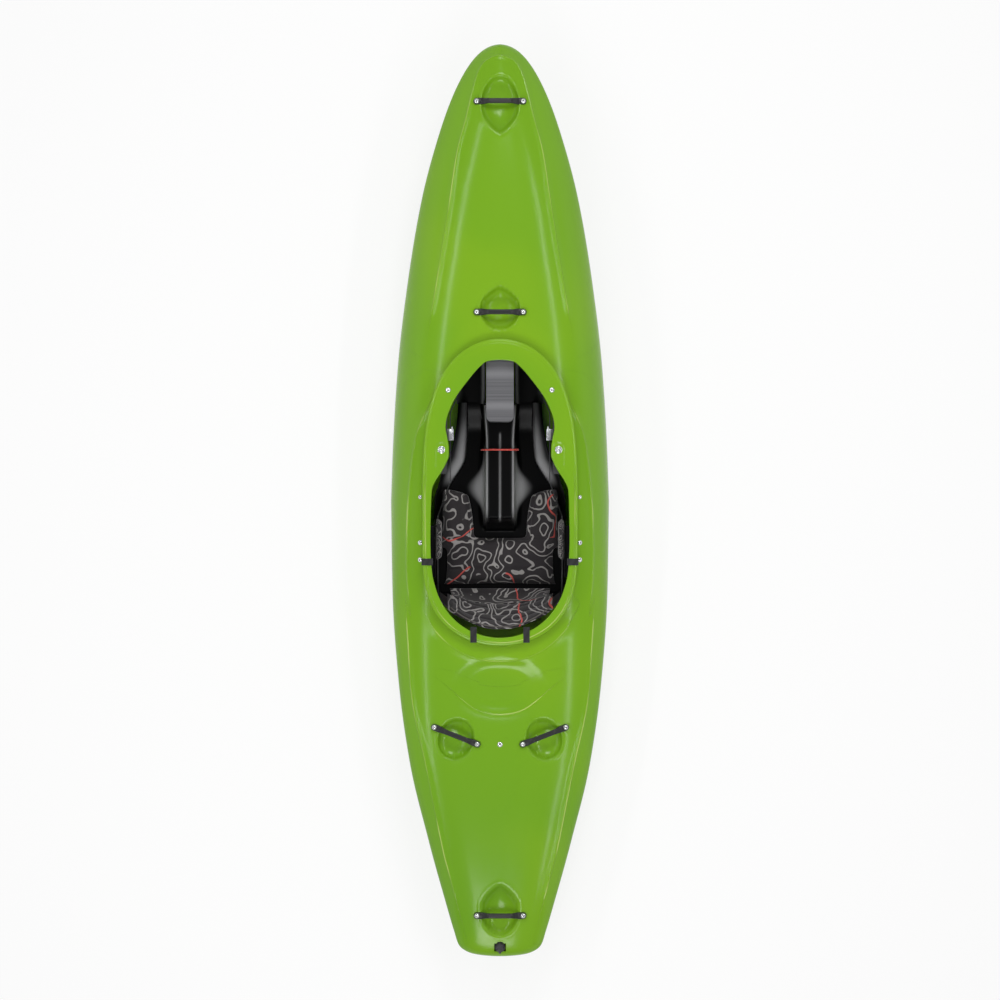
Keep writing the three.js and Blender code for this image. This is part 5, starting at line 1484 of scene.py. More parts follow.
@dataclass
class Studio:
    """A pale floor, soft lamps and a camera above the boat, as in the photograph."""

    floor_size: float = 14.0
    floor_drop: float = 0.0005
    camera_height: float = 14.0
    frame_width: float = 3.003
    aim: Point = (0.0, 0.0045, 0.2)
    lamp_target: Point = (0.0, 0.0, 0.2)
    sky: float = 0.47
    zenith: float = 0.3

    def build(self) -> None:
        """Sets the view's colours, the world, the floor, the lamps and the camera."""
        scene = bpy.context.scene
        scene.view_settings.view_transform = "Standard"
        self.world(scene)
        self.floor()
        self.lamp("bow_softbox", (0.3, 2.5, 3.4), 1.2, 1.2, 44.0)
        self.lamp("stern_softbox", (-0.3, -2.5, 3.4), 1.2, 1.2, 36.0)
        self.lamp("left_strip", (-1.7, 0.2, 2.6), 0.08, 3.6, 17.0)
        self.lamp("right_strip", (1.6, -0.1, 2.7), 0.08, 3.6, 17.0)
        self.camera(scene)

    def world(self, scene: bpy.types.Scene) -> None:
        """A plain pale sky that shows white, and a darker ceiling for what faces straight up.

        Args:
            scene: the scene.
        """
        world = bpy.data.worlds.new("pale_studio_sky")
        world.use_nodes = True
        tree = world.node_tree
        add = partial(add_node, tree)
        height = add("SeparateXYZ", (add("TexCoord", output="Generated"),), "Z")
        bright = add("MapRange", (height, 0.22, 0.6, 1.0, self.zenith), **SOFT)
        strength = add("MapRange", (self.seen_straight(add), 0.0, 1.0, self.sky, bright))
        background = tree.nodes["Background"]
        feed(tree, background.inputs["Color"], "#ffffff")
        feed(tree, background.inputs["Strength"], strength)
        scene.world = world

    @staticmethod
    def seen_straight(add: Adder) -> Socket:
        """One for what the camera sees, straight or in a mirror or glass, and nought for light.

        Args:
            add: adds a node to the tree.

        Returns:
            The socket.
        """
        seen = [add("LightPath", output=name)
                for name in ("Is Camera Ray", "Is Glossy Ray", "Is Transmission Ray")]
        mirrored_too = add("Math", seen[:2], operation="MAXIMUM")
        return add("Math", (mirrored_too, seen[2]), operation="MAXIMUM")

    def floor(self) -> None:
        """A white floor that keeps the boat's soft shadow."""
        half = self.floor_size / 2
        corners = [(-half, -half), (half, -half), (half, half), (-half, half)]
        floor = add_mesh("studio_floor", [(x, y, -self.floor_drop) for x, y in corners],
                         [(0, 1, 2, 3)], False)
        material = bpy.data.materials.new("white_paper_floor")
        material.use_nodes = True
        tree = material.node_tree
        add = partial(add_node, tree)
        shader = tree.nodes["Principled BSDF"]
        for name, value in (("Base Color", "#f2f2f2"), ("Roughness", 0.9),
                            ("Specular IOR Level", 0.1)):
            feed(tree, shader.inputs[name], value)
        glow = add("Emission", ("#ffffff", 1.0))
        share = add("Math", (self.seen_straight(add), 0.8), operation="MULTIPLY")
        mix = add("MixShader", (share, shader.outputs[0], glow))
        feed(tree, tree.nodes["Material Output"].inputs["Surface"], mix)
        floor.data.materials.append(material)

    def lamp(self, name: str, place: Point, width: float, length: float, watts: float) -> None:
        """Adds a soft rectangular lamp that faces the boat.

        Args:
            name: the lamp's name.
            place: where it hangs.
            width: its width in metres.
            length: its length in metres, along the boat for a lamp beside it.
            watts: its power.
        """
        data = bpy.data.lights.new(name, "AREA")
        data.shape = "RECTANGLE"
        data.size = width
        data.size_y = length
        data.energy = watts
        lamp = bpy.data.objects.new(name, data)
        lamp.location = place
        ahead = Vector(self.lamp_target) - Vector(place)
        lamp.rotation_euler = ahead.to_track_quat("-Z", "X").to_euler()
        bpy.context.scene.collection.objects.link(lamp)

    def camera(self, scene: bpy.types.Scene) -> None:
        """A long lens straight above the boat, bow at the top of the picture.

        Args:
            scene: the scene.
        """
        data = bpy.data.cameras.new("photo_camera")
        data.type = "PERSP"
        data.sensor_width = 36.0
        distance = self.camera_height - self.aim[2]
        data.lens = data.sensor_width * distance / self.frame_width
        data.clip_end = 60.0
        camera = bpy.data.objects.new("photo_camera", data)
        camera.location = (self.aim[0], self.aim[1], self.camera_height)
        bpy.context.scene.collection.objects.link(camera)
        scene.camera = camera


@dataclass(frozen=True)
class DomedBolt:
    """A domed socket-head bolt, in millimetres. Its head rests at height nought."""

    head_radius: float
    head_height: float
    shank_radius: float
    length: float
    washer_radius: float = 0.0
    washer_height: float = 1.2
    socket_radius: float = 2.3
    socket_depth: float = 2.0
    nut_radius: float = 0.0
    nut_height: float = 5.0

    def mesh(self) -> tuple[Array, Faces]:
        """The bolt's points and faces: shank, washer, dome and a six-sided socket.

        Returns:
            Points in millimetres and faces.
        """
        lift = self.washer_height if self.washer_radius else 0.0
        shank, nut, tall = self.shank_radius, self.nut_radius, self.nut_height
        profile = [(0, 0), (shank - 0.6, 0), (shank, 0.8)]
        if nut:
            profile += [(nut - 0.7, 1.0), (nut, 1.6), (nut, tall + 0.4), (nut - 0.7, tall + 1.0),
                        (shank, tall + 1.0)]
        profile = [(r, z - self.length) for r, z in profile] + [(shank, 0)]
        if self.washer_radius:
            profile += [(self.washer_radius - 0.3, 0), (self.washer_radius, 0.3),
                        (self.washer_radius, lift - 0.3), (self.washer_radius - 0.3, lift),
                        (self.head_radius - 0.2, lift)]
        else:
            profile += [(self.head_radius - 0.4, 0), (self.head_radius, 0.3)]
        for i in range(1, 7):
            angle = math.pi / 2 * i / 7
            radius = self.head_radius * math.cos(angle)
            if radius > self.socket_radius + 0.4:
                profile.append((radius, lift + self.head_height * math.sin(angle)))
        top = profile[-1][1]
        profile += [(self.socket_radius + 0.3, top + 0.15), (self.socket_radius, top),
                    (self.socket_radius * 0.95, top - self.socket_depth), (0, top - self.socket_depth)]
        return turned(profile, 36)


@dataclass
class Fastenings:
    """Every bolt and screw that shows on the shell, in millimetres."""

    deck: Deck
    rim: CockpitRim
    nut_radius: float = 7.0
    sleeve_radius: float = 6.5
    sleeve_gap: float = 4.5
    flange_top: float = 252.0
    slope_step: float = 5.0
    head_gap: float = 0.3

    def spacer(self, node: str, x: float, y: float) -> None:
        """The sleeve between the deck and the hanger's flange, and the nut below the flange.

        Args:
            node: the seat bolt's CAD node.
            x: place across.
            y: place along.
        """
        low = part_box(node)[0][2] / MM
        top = self.deck.at(x, y) - self.deck.lines.wall - self.sleeve_gap
        parts = []
        for radius, start, end in ((self.nut_radius, low, low + 5.0),
                                   (self.sleeve_radius, self.flange_top + 0.4, top)):
            points, faces = turned([(0, start), (radius - 0.7, start), (radius, start + 0.7),
                                    (radius, end - 0.7), (radius - 0.7, end), (0, end)], 24)
            parts.append(outward(add_mesh("part", (points + np.array([x, y, 0])) * MM, faces)))
        piece = joined(node + "_sleeve", parts)
        piece.data.set_sharp_from_angle(angle=math.radians(SHARP_ANGLE))
        dressed(piece, Finishes.steel, Body.SHELL, node)

    def add(self, node: str, bolt: DomedBolt, matrix: Matrix, body: str) -> None:
        """Puts a bolt in place of its solid.

        Args:
            node: the CAD node, whose name the piece takes with a suffix.
            bolt: the bolt.
            matrix: its place, in millimetres, with its head up Z.
            body: the body that it moves with.
        """
        points, faces = bolt.mesh()
        moved = [matrix @ Vector(p) for p in points]
        piece = outward(add_mesh(node + "_domed", np.array(moved) * MM, faces))
        piece.data.set_sharp_from_angle(angle=math.radians(50))
        dressed(piece, Finishes.steel, body, node)

    def build(self) -> None:
        """Builds the seat bolts, deck screws, pillar screw, rim bolts and thigh bolts."""
        places = [(s * 238, y) for s in (-1, 1) for y in (-123, -174)]
        for number, (x, y) in enumerate(places, 1):
            self.on_deck(f"seat_bolt_{number}", DomedBolt(7.6, 4.2, 3, 20), x, y)
            self.spacer(f"seat_bolt_{number}", x, y)
        screw = DomedBolt(6, 3, 2.2, 16, socket_radius=1.6, socket_depth=1.4)
        plain = DomedBolt(8, 4.2, 3, 22, socket_radius=2.5, socket_depth=2.2)
        washered = replace(plain, washer_radius=10.8, washer_height=1.4)
        for side in Side:
            self.on_deck(f"deck_screw_{side.word}", screw, side.value * 238, 13)
            self.on_rim(f"rim_bolt_{side.word}", plain, side.value * 154, 331, 0.2, Body.SHELL)
            self.on_rim(f"thigh_bolt_{side.word}", washered, side.value * 174, 154, -2.2,
                        f"thigh_brace_{side.word}")
        long = DomedBolt(8, 3.2, 3, 40, socket_radius=2.4, socket_depth=2.2)
        self.on_deck("rear_pillar_screw", long, 0, -727)

    def on_rim(self, node: str, bolt: DomedBolt, x: float, y: float, lift: float,
               body: str) -> None:
        """Seats a bolt square on the sloping rim.

        Args:
            node: the CAD node.
            bolt: the bolt.
            x: place across.
            y: place along.
            lift: height of its seat over the rim's top face.
            body: the body that it moves with.
        """
        slope = (self.rim.front_top - self.rim.rear_top) / (self.rim.front - self.rim.rear)
        z = self.rim.top(y) + lift
        self.add(node, bolt, Matrix.Translation((x, y, z))
                 @ Matrix.Rotation(math.atan(slope), 4, "X"), body)

    def on_deck(self, node: str, bolt: DomedBolt, x: float, y: float) -> None:
        """Seats a bolt square on the deck.

        Args:
            node: the CAD node.
            bolt: the bolt.
            x: place across.
            y: place along.
        """
        at, step = self.deck.at, self.slope_step
        normal = Vector((at(x - step, y) - at(x + step, y), at(x, y - step) - at(x, y + step),
                         2 * step)).normalized()
        turn = Vector((0, 0, 1)).rotation_difference(normal).to_matrix().to_4x4()
        place = Vector((x, y, at(x, y))) + normal * self.head_gap
        self.add(node, bolt, Matrix.Translation(place) @ turn, Body.SHELL)


@dataclass
class GrabHandle:
    """A grab handle: a bowed bar between two round feet that are bolted to the deck."""

    deck: Deck
    node: str
    x: float
    y: float
    turn: float
    spacing: float = 138.0
    end_radius: float = 10.0
    bar_half: float = 7.6
    foot_height: float = 9.0
    rise: float = 9.0
    crown_share: float = 0.55
    bar_thickness: float = 11.0
    flat_half: float = 31.0
    steps: int = 72

    def matrix(self) -> Matrix:
        """The handle's place: X along the bar, Z square to the deck, at its middle.

        Returns:
            The matrix, in millimetres.
        """
        reach = self.spacing / 2
        c, s = math.cos(math.radians(self.turn)), math.sin(math.radians(self.turn))
        ends = []
        for side in (-1, 1):
            x, y = self.x + side * reach * c, self.y + side * reach * s
            ends.append(Vector((x, y, self.deck.plain_at(x, y))))
        along = (ends[1] - ends[0]).normalized()
        across = Vector((-s, c, 0))
        up = along.cross(across).normalized()
        place = Matrix((along, across, up)).transposed().to_4x4()
        place.translation = (ends[0] + ends[1]) / 2
        return place

    def build(self, fastenings: Fastenings) -> None:
        """Builds the bar and its two bolts.

        Args:
            fastenings: the maker of the bolts.
        """
        place = self.matrix()
        crown = self.deck.plain_at(self.x, self.y) - place.translation.z
        top_middle = self.foot_height + self.rise + crown * self.crown_share
        end = self.spacing / 2 + self.end_radius
        foot = self.spacing / 2 - self.end_radius - 1
        share = np.linspace(0, 1, self.steps + 1)
        along = -end * np.cos(np.pi * share)
        climb = smooth((foot - np.abs(along)) / (foot - self.flat_half))
        top = self.foot_height + (top_middle - self.foot_height) * climb
        sink = -6.0
        low = sink + (top_middle - self.bar_thickness - sink) * climb
        past = np.clip((np.abs(along) - self.spacing / 2) / self.end_radius, 0, 1)
        width = self.bar_half + (self.end_radius - self.bar_half) * (1 - climb)
        width = width * np.sqrt(np.clip(1 - past ** 2, 0.0004, 1))
        around = 24
        angle = np.arange(around) * math.tau / around
        cos, sin = np.cos(angle), np.sin(angle)
        across = np.sign(cos) * np.abs(cos) ** 0.62
        upward = np.sign(sin) * np.abs(sin) ** 0.5
        points = []
        for i, x in enumerate(along):
            middle, half = (top[i] + low[i]) / 2, (top[i] - low[i]) / 2
            for a, u in zip(across, upward):
                groove = 0.7 * climb[i] * math.exp(-(a / 0.45) ** 2) if u > 0 else 0.0
                points.append(place @ Vector((x, a * width[i], middle + u * half - groove)))
        bar = lofted(self.node + "_bar", np.reshape(points, (len(along), around, 3)))
        dressed(bar, Finishes.handle, Body.SHELL, self.node)
        bolt = DomedBolt(7.4, 4.0, 3, 26, nut_radius=5.8)
        for number, side in ((1, -1), (2, 1)):
            head = place @ Matrix.Translation((side * self.spacing / 2, 0, self.foot_height + 0.1))
            fastenings.add(f"{self.node}_bolt_{number}", bolt, head, Body.SHELL)


@dataclass
class DrainPlug:
    """The screwed drain plug in the stern deck, its seal and its socket, in millimetres."""

    deck: Deck
    y: float = -1337.0
    head_radius: float = 13.5
    shank_radius: float = 8.4
    shank_length: float = 15.0
    knurls: int = 30

    def build(self) -> None:
        """Builds the plug with a knurled edge, a bar to turn it by, a thread and a tab."""
        low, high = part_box("drain_plug")
        top = high.z / MM
        bottom = low.z / MM + self.shank_length
        points, faces = turned([
            (0, low.z / MM), (self.shank_radius - 1.5, low.z / MM), *self.thread(low.z / MM, bottom),
            (self.shank_radius, bottom), (self.head_radius - 0.8, bottom),
            (self.head_radius, bottom + 0.8), (self.head_radius, top - 1.4),
            (self.head_radius - 0.5, top - 0.5), (self.head_radius - 1.4, top),
            (self.head_radius - 3.6, top), (self.head_radius - 4.2, top - 0.8),
            (0, top - 0.8)], 120)
        radius = np.hypot(points[:, 0], points[:, 1])
        angle = np.arctan2(points[:, 1], points[:, 0])
        edge = (radius > self.head_radius - 0.6) & (points[:, 2] > bottom)
        scale = 1 - 0.028 * (np.cos(angle * self.knurls) > 0.2)
        points[:, :2] *= np.where(edge, scale, 1.0)[:, None]
        head = outward(add_mesh("plug_head", points * MM, faces))
        blade = rounded_box((-10.5, -1.8, top - 1.2), (10.5, 1.8, top), 0.5)
        tab = rounded_box((-4.2, -self.head_radius - 5, bottom + 0.2),
                          (4.2, -self.head_radius + 2, bottom + 3.2), 1.2)
        plug = joined("drain_plug_knurled", [head, blade, tab])
        plug.data.transform(Matrix.Translation((0, self.y * MM, 0)))
        plug.data.set_sharp_from_angle(angle=math.radians(45))
        dressed(plug, Finishes.drain, Body.DRAIN_PLUG, "drain_plug")
        socket = softened("drain_socket_rounded", "drain_socket", 1.0, 3)
        dressed(socket, Finishes.drain, Body.SHELL, "drain_socket")
        seal = softened("drain_seal_rounded", "drain_seal", 0.7, 3)
        dressed(seal, Finishes.seal, Body.DRAIN_SEAL, "drain_seal")

    def thread(self, low: float, high: float) -> list[tuple[float, float]]:
        """Ridges of a 3 mm pitch along the shank, as turned rings.

        Args:
            low: height of the shank's end.
            high: height of its top.

        Returns:
            Points of the profile.
        """
        rings = []
        z = low + 0.8
        while z < high - 2.2:
            rings += [(self.shank_radius - 1.2, z), (self.shank_radius, z + 1.0),
                      (self.shank_radius, z + 1.5), (self.shank_radius - 1.2, z + 2.5)]
            z += 3.0
        return rings


def route_through(points: Sequence[Point], steps: int) -> Array:
    """A centripetal curve through points, evenly stepped.

    Args:
        points: the points that it passes.
        steps: number of points in the result, less one.

    Returns:
        An array of points.
    """
    fixed = np.array(points, float)
    before, after = 2 * fixed[0] - fixed[1], 2 * fixed[-1] - fixed[-2]
    chain = np.vstack([before, fixed, after])
    gaps = np.linalg.norm(np.diff(chain, axis=0), axis=1) ** 0.5
    knot = np.concatenate([[0], np.cumsum(gaps)])
    parts = []
    for i in range(1, len(chain) - 2):
        t = np.linspace(knot[i], knot[i + 1], 40, endpoint=i == len(chain) - 3)[:, None]
        k, p = knot[i - 1:i + 3], chain[i - 1:i + 3]
        a = [((k[j + 1] - t) * p[j] + (t - k[j]) * p[j + 1]) / (k[j + 1] - k[j]) for j in range(3)]
        b = [((k[j + 2] - t) * a[j] + (t - k[j]) * a[j + 1]) / (k[j + 2] - k[j]) for j in range(2)]
        parts.append(((k[2] - t) * b[0] + (t - k[1]) * b[1]) / (k[2] - k[1]))
    fine = np.vstack(parts)
    run = np.concatenate([[0], np.cumsum(np.linalg.norm(np.diff(fine, axis=0), axis=1))])
    even = np.linspace(0, run[-1], steps + 1)
    return np.stack([np.interp(even, run, fine[:, c]) for c in range(3)], 1)


def tube(name: str, path: Array, radius: float, sides: int = 16) -> Piece:
    """A round tube along a path, in millimetres.

    Args:
        name: the piece's name.
        path: the path's points.
        radius: the tube's radius.
        sides: steps round it.

    Returns:
        The tube.
    """
    tangent = np.gradient(path, axis=0)
    tangent /= np.linalg.norm(tangent, axis=1)[:, None]
    side = np.cross(tangent[0], (0.0, 1.0, 0.0))
    rings = []
    angle = np.arange(sides) * math.tau / sides
    for place, ahead in zip(path, tangent):
        side = side - ahead * float(side @ ahead)
        side /= np.linalg.norm(side)
        up = np.cross(ahead, side)
        rings.append(place + radius * (np.outer(np.cos(angle), side) + np.outer(np.sin(angle), up)))
    return lofted(name, rings)


@dataclass
class Bungee:
    """The red elastic across the console, out of one side and into the other, in millimetres."""

    radius: float = 2.6
    route: Sequence[Point] = ((-36.5, 156, 121), (-55.5, 156, 132), (-43.5, 156, 151.8),
                              (0, 156, 155), (43.5, 156, 151.8), (55.5, 156, 132), (36.5, 156, 121))

    def build(self) -> None:
        path = route_through(self.route, 110)
        piece = tube("console_bungee_cord", path, self.radius)
        dressed(piece, Finishes.cord, Body.SEAT, "console_bungee")


@dataclass
class FoamPillars:
    """The foam pillars under the two decks, in millimetres."""

    deck: Deck
    half_width: float = 41.0
    rear_start: float = -448.0
    rear_end: float = -1080.0
    gap: float = 0.4

    def build(self) -> None:
        """Builds the front pillar from its solid, and the rear one to the dished deck."""
        front = softened("front_pillar_block", "front_pillar", 2.2, 3)
        dressed(front, Finishes.pillar, Body.SHELL, "front_pillar")
        wall = self.deck.lines.wall + self.gap
        rows = np.linspace(self.rear_end, self.rear_start, 64)
        across = np.linspace(-self.half_width, self.half_width, 13)
        x, y = np.meshgrid(across, rows)
        plain = self.deck.lines.deck_height(x, y, wall)
        top = np.minimum(plain, self.deck.height(x, y) - wall) - 0.2
        floor = self.deck.lines.section(y, wall)
        low = floor.keel + 0.4 + 0.0 * x
        edge = np.clip((self.half_width - np.abs(x)) / 4.0, 0, 1)
        top = top - 3.0 * (1 - np.sqrt(1 - (1 - edge) ** 2))
        upper = np.stack([x, y, top], -1)
        lower = np.stack([x, y, low], -1)[:, ::-1]
        piece = lofted("rear_pillar_block", np.concatenate([upper, lower], 1))
        piece.data.set_sharp_from_angle(angle=math.radians(SHARP_ANGLE))
        dressed(piece, Finishes.pillar, Body.SHELL, "rear_pillar")


def slab(name: str, outline: Sequence[tuple[float, float]], low: float, high: float,
         radius: float) -> Piece:
    """A plate cut to an outline with its edges rounded, in millimetres.

    Args:
        name: the piece's name.
        outline: the outline's points, along the boat and up.
        low: where the plate starts across the boat.
        high: where it ends.
        radius: radius of the rounded edges.

    Returns:
        The plate.
    """
    cage = bmesh.new()
    first, second = ([cage.verts.new((x * MM, y * MM, z * MM)) for y, z in outline]
                     for x in (low, high))
    cage.faces.new(first)
    cage.faces.new(second[::-1])
    for i in range(len(outline)):
        j = (i + 1) % len(outline)
        cage.faces.new((first[i], first[j], second[j], second[i]))
    bmesh.ops.recalc_face_normals(cage, faces=cage.faces)
    bmesh.ops.bevel(cage, geom=cage.edges[:], offset=radius * MM, segments=2, profile=0.5,
                    affect="EDGES", clamp_overlap=True)
    plate = from_cage(name, cage)
    plate.data.shade_smooth()
    plate.data.set_sharp_from_angle(angle=math.radians(SHARP_ANGLE))
    return plate


@dataclass
class SeatMoulding:
    """The black seat moulding: a tray with flared sides, a ridged console and two hangers.

    The tray is one skin over the floor, the console and the side walls. Its points lie on rows
    across the boat. Sizes are in millimetres.
    """

    front: float = 299.5
    rear: float = -290.0
    floor: float = 12.3
    console_top: float = 143.0
    crest: float = -46.0
    foot: float = -92.0
    ridge: float = 5.0
    ridge_half: float = 3.6
    rib: float = 3.0
    flare_top: float = 62.0
    skin: float = 3.0
    rows: int = 230
    columns: int = 96
    wing_front: float = 430.0
    wing_foot: float = 39.3
    wing_rise: float = 19.0

    def __post_init__(self) -> None:
        """Sets up the curves of the side walls and of the console's flare."""
        self.wall_foot = curve_through([(-290, 180), (-226, 190), (-60, 190), (6, 178), (60, 146),
                                        (138, 104), (237, 98), (300, 98)])
        self.wall_top = curve_through([(-290, 188), (-226, 199), (6, 198), (44, 188), (105, 170),
                                       (138, 152), (237, 131), (300, 126)])
        self.wall_height = curve_through([(-290, 38), (-40, 40), (44, 62), (105, 86), (160, 84),
                                          (237, 74), (300, 60)])
        self.flare = curve_through([(-92, 22), (20, 27), (120, 24), (237, 12), (300, 10)])
        self.half = curve_through([(-92, 43.5), (60, 43.5), (180, 43.5), (260, 48), (300, 50)])

    def console(self, x: Array, y: Array) -> Array:
        """Height of the console over places in plan, with its ridges and its rib.

        Args:
            x: places across, as distances from the middle.
            y: places along.

        Returns:
            Heights, the floor's beside it.
        """
        length = smooth((y - self.foot) / (self.crest - self.foot)) * smooth((298 - y) / 7)
        half = self.half(y)
        top = self.floor + (self.console_top - self.floor) * length
        ridge = self.ridge * np.exp(-(((x - half + 4.2) / self.ridge_half) ** 4))
        rib = self.rib * np.exp(-((x / 2.2) ** 4)) * smooth((200 - y) / 20) * smooth((y + 60) / 30)
        top = top + (ridge + rib) * length
        flare = self.flare(y)
        past = np.clip((x - half) / flare, 0, 1)
        skirt = (self.flare_top - self.floor) * (1 - np.sqrt(np.clip(2 * past - past * past, 0, 1)))
        draft = smooth((half + 4 - x) / 5)
        side = self.floor + skirt * length
        return np.maximum(side + (top - side) * draft, self.floor)

    def wing(self, side: int) -> Piece:
        """A shallow trough that runs forward from the tray, beside the foam pillar.

        Args:
            side: 1 for the right-hand wing, -1 for the left-hand one.

        Returns:
            The wing.
        """
        t, c = np.meshgrid(np.linspace(0, 1, 30), np.linspace(0, 1, 25), indexing="ij")
        x, y = 46 + 86 * c, 296 + (self.wing_front - 296) * t
        edge = 4.5 * (2 * c - 1) ** 2 - 3.0 - 2.4 * smooth((np.abs(2 * c - 1) - 0.9) / 0.1)
        top = self.wing_foot + self.wing_rise * t + edge
        upper = np.stack([side * x, y, top], -1)
        lower = np.stack([side * x, y, self.wing_foot + self.wing_rise * t - 6], -1)[:, ::-1]
        wing = lofted("wing", np.concatenate([upper, lower], 1))
        # Painted highlight along the wing's inner edge, and along its outer edge near the tray.
        lit = 0.5 * np.exp(-(((c - 0.05) / 0.05) ** 2)) + 0.2 * smooth((c - 0.75) / 0.2) * (1 - t)
        set_mask(wing, "rub", np.concatenate([lit, 0 * lit], 1).ravel())
        return wing

    def build(self) -> None:
        """Builds the tray's skin and the hangers, and puts them in place of the solid."""
        rows = np.unique(np.concatenate([np.linspace(self.rear, self.front, self.rows),
                                         np.linspace(288, self.front, 14)]))
        share = np.linspace(0, 1, self.columns + 1)
        across, heights, lit = [], [], []
        for y in rows:
            foot, top, half = self.wall_foot(y), self.wall_top(y), self.half(y)
            x = np.interp(share, [0, 0.1, 0.5, 0.68, 1.0],
                          [0, 30, half + 8, min(half + 34, foot - 6), top])
            height = self.console(x, np.full(x.shape, y))
            up = np.clip((x - foot) / (top - foot), 0, 1)
            rise = self.wall_height(y) * (1 - (1 - up) ** 2) ** 0.62
            lifted = 27 * smooth((y - 205) / 93) * smooth((x - half) / 10)
            ends = 26 * smooth((self.rear + 16 - y) / 14)
            height = height + rise + (lifted + ends) * (1 - up)
            across.append(x)
            heights.append(height)
            # Painted highlight: this mask lightens the console's ridges, the skirt at its foot, the
            # flanks and the rib.
            ridge = np.exp(-(((x - half + 4.2) / 3.4) ** 2)) * smooth((y + 70) / 60)
            spread = 9 + 52 * math.exp(-(((y - 42) / 46) ** 2))
            skirt = smooth((x - half + 3) / 5) * (1 - smooth((x - half) / spread))
            skirt = skirt * smooth((y + 80) / 60) * smooth((190 - y) / 90)
            flank = smooth((up - 0.01) / 0.07) * (1 - smooth((up - 0.1) / 0.75)) * smooth((y - 40) / 50)
            flank = flank * (1 - 0.75 * smooth((y - 190) / 80))
            rib = np.exp(-((x / 2.4) ** 2)) * smooth((y + 66) / 14) * smooth((212 - y) / 14)
            lit.append(np.clip(0.5 * ridge + 0.95 * skirt + 0.9 * flank + 0.4 * rib, 0, 1))
        x, z, mask = np.array(across), np.array(heights), np.array(lit)
        y = np.repeat(rows[:, None], x.shape[1], 1)
        full = [np.concatenate([sign * a[:, :0:-1], a], 1) for sign, a in ((-1, x), (1, y), (1, z))]
        mask = np.concatenate([mask[:, :0:-1], mask], 1)
        points = np.stack(full, -1).reshape(-1, 3)
        tray = add_mesh("seat_tray", points * MM, grid_faces(len(rows), mask.shape[1]))
        set_mask(tray, "rub", mask.ravel())
        skin = tray.modifiers.new("skin", "SOLIDIFY")
        skin.thickness = self.skin * MM
        skin.offset = -1.0
        apply_modifiers(tray)
        parts = [tray]
        for side in (-1, 1):
            parts.append(self.wing(side))
            low, high = sorted((side * 193, side * 200))
            parts.append(slab("hanger", [(-50, 26), (-72, 252), (-226, 252), (-250, 26)], low, high,
                              2.0))
            low, high = sorted((side * 194, side * 240))
            parts.append(rounded_box((low, -226, 246), (high, -72, 252), 1.6))
        seat = joined("seat_moulding", parts)
        seat.data.shade_smooth()
        seat.data.set_sharp_from_angle(angle=math.radians(48))
        outward(seat)
        dressed(seat, Finishes.seat, Body.SEAT, "seat")


@dataclass
class StuffedPiece:
    """A padded piece that is swollen from its solid as cloth over a filling, in millimetres."""

    node: str
    name: str
    finish: Finish
    body: str
    voxel: float = 5.0
    cap: float = 7.0
    inset: float = 2.5
    pressure: float = 4.0
    fill: float = 0.7

    def build(self, sewn: Callable[[Array], Array], held: Callable[[Array], Array]) -> None:
        """Remeshes the solid, fills it, holds it in its place and sinks its seams.

        Args:
            sewn: the depth of the seams at points of the piece.
            held: the points moved back into the room that the piece has.
        """
        piece = linked(self.name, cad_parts[self.node].data.copy())
        remesh = piece.modifiers.new("even_faces", "REMESH")
        remesh.mode = "VOXEL"
        remesh.voxel_size = self.voxel * MM
        relaxed = piece.modifiers.new("relaxed", "SMOOTH")
        relaxed.factor = 0.6
        relaxed.iterations = 5
        apply_modifiers(piece)
        self.shift(piece, lambda p, n: p - n * self.inset)
        self.swell(piece)
        set_positions(piece, held(positions(piece) / MM) * MM)
        finer = piece.modifiers.new("finer", "SUBSURF")
        finer.levels = finer.render_levels = 1
        apply_modifiers(piece)
        self.shift(piece, lambda p, n: p - n * sewn(p)[:, None])
        set_positions(piece, held(positions(piece) / MM) * MM)
        piece.data.shade_smooth()
        dressed(piece, self.finish, self.body, self.node)

    @staticmethod
    def shift(piece: Piece, move: Callable[[Array, Array], Array]) -> None:
        """Moves a piece's points by a rule on their places and normals, in millimetres.

        Args:
            piece: the piece.
            move: gives the new places.
        """
        normals = np.zeros(len(piece.data.vertices) * 3)
        piece.data.vertex_normals.foreach_get("vector", normals)
        set_positions(piece, move(positions(piece) / MM, normals.reshape(-1, 3)) * MM)

    def swell(self, piece: Piece) -> None:
        """Lets the cover swell as cloth under pressure, and caps how far a point moves.

        Args:
            piece: the piece.
        """
        before = positions(piece)
        cloth = piece.modifiers.new("cover", "CLOTH")
        cloth.settings.use_pressure = True
        cloth.settings.uniform_pressure_force = self.pressure
        cloth.settings.effector_weights.gravity = 0.0
        cloth.settings.quality = 5
        cloth.point_cache.frame_start, cloth.point_cache.frame_end = 1, 20
        scene = bpy.context.scene
        for number in range(1, 21):
            scene.frame_set(number)
        apply_modifiers(piece)
        scene.frame_set(1)
        moved = positions(piece) - before
        size = np.linalg.norm(moved, axis=1)
        limit = self.cap * MM
        moved *= np.minimum(1, limit / np.maximum(size, 1e-9))[:, None]
        set_positions(piece, before + moved)
        LOG.info("%s swelled by up to %.1f mm", self.name, float(size.max()) / MM)


def sewn_line(gap: Array, depth: float, width: float) -> Array:
    """The depth of a sewn line at a distance from it, in millimetres."""
    return depth * np.exp(-(gap / width) ** 2)


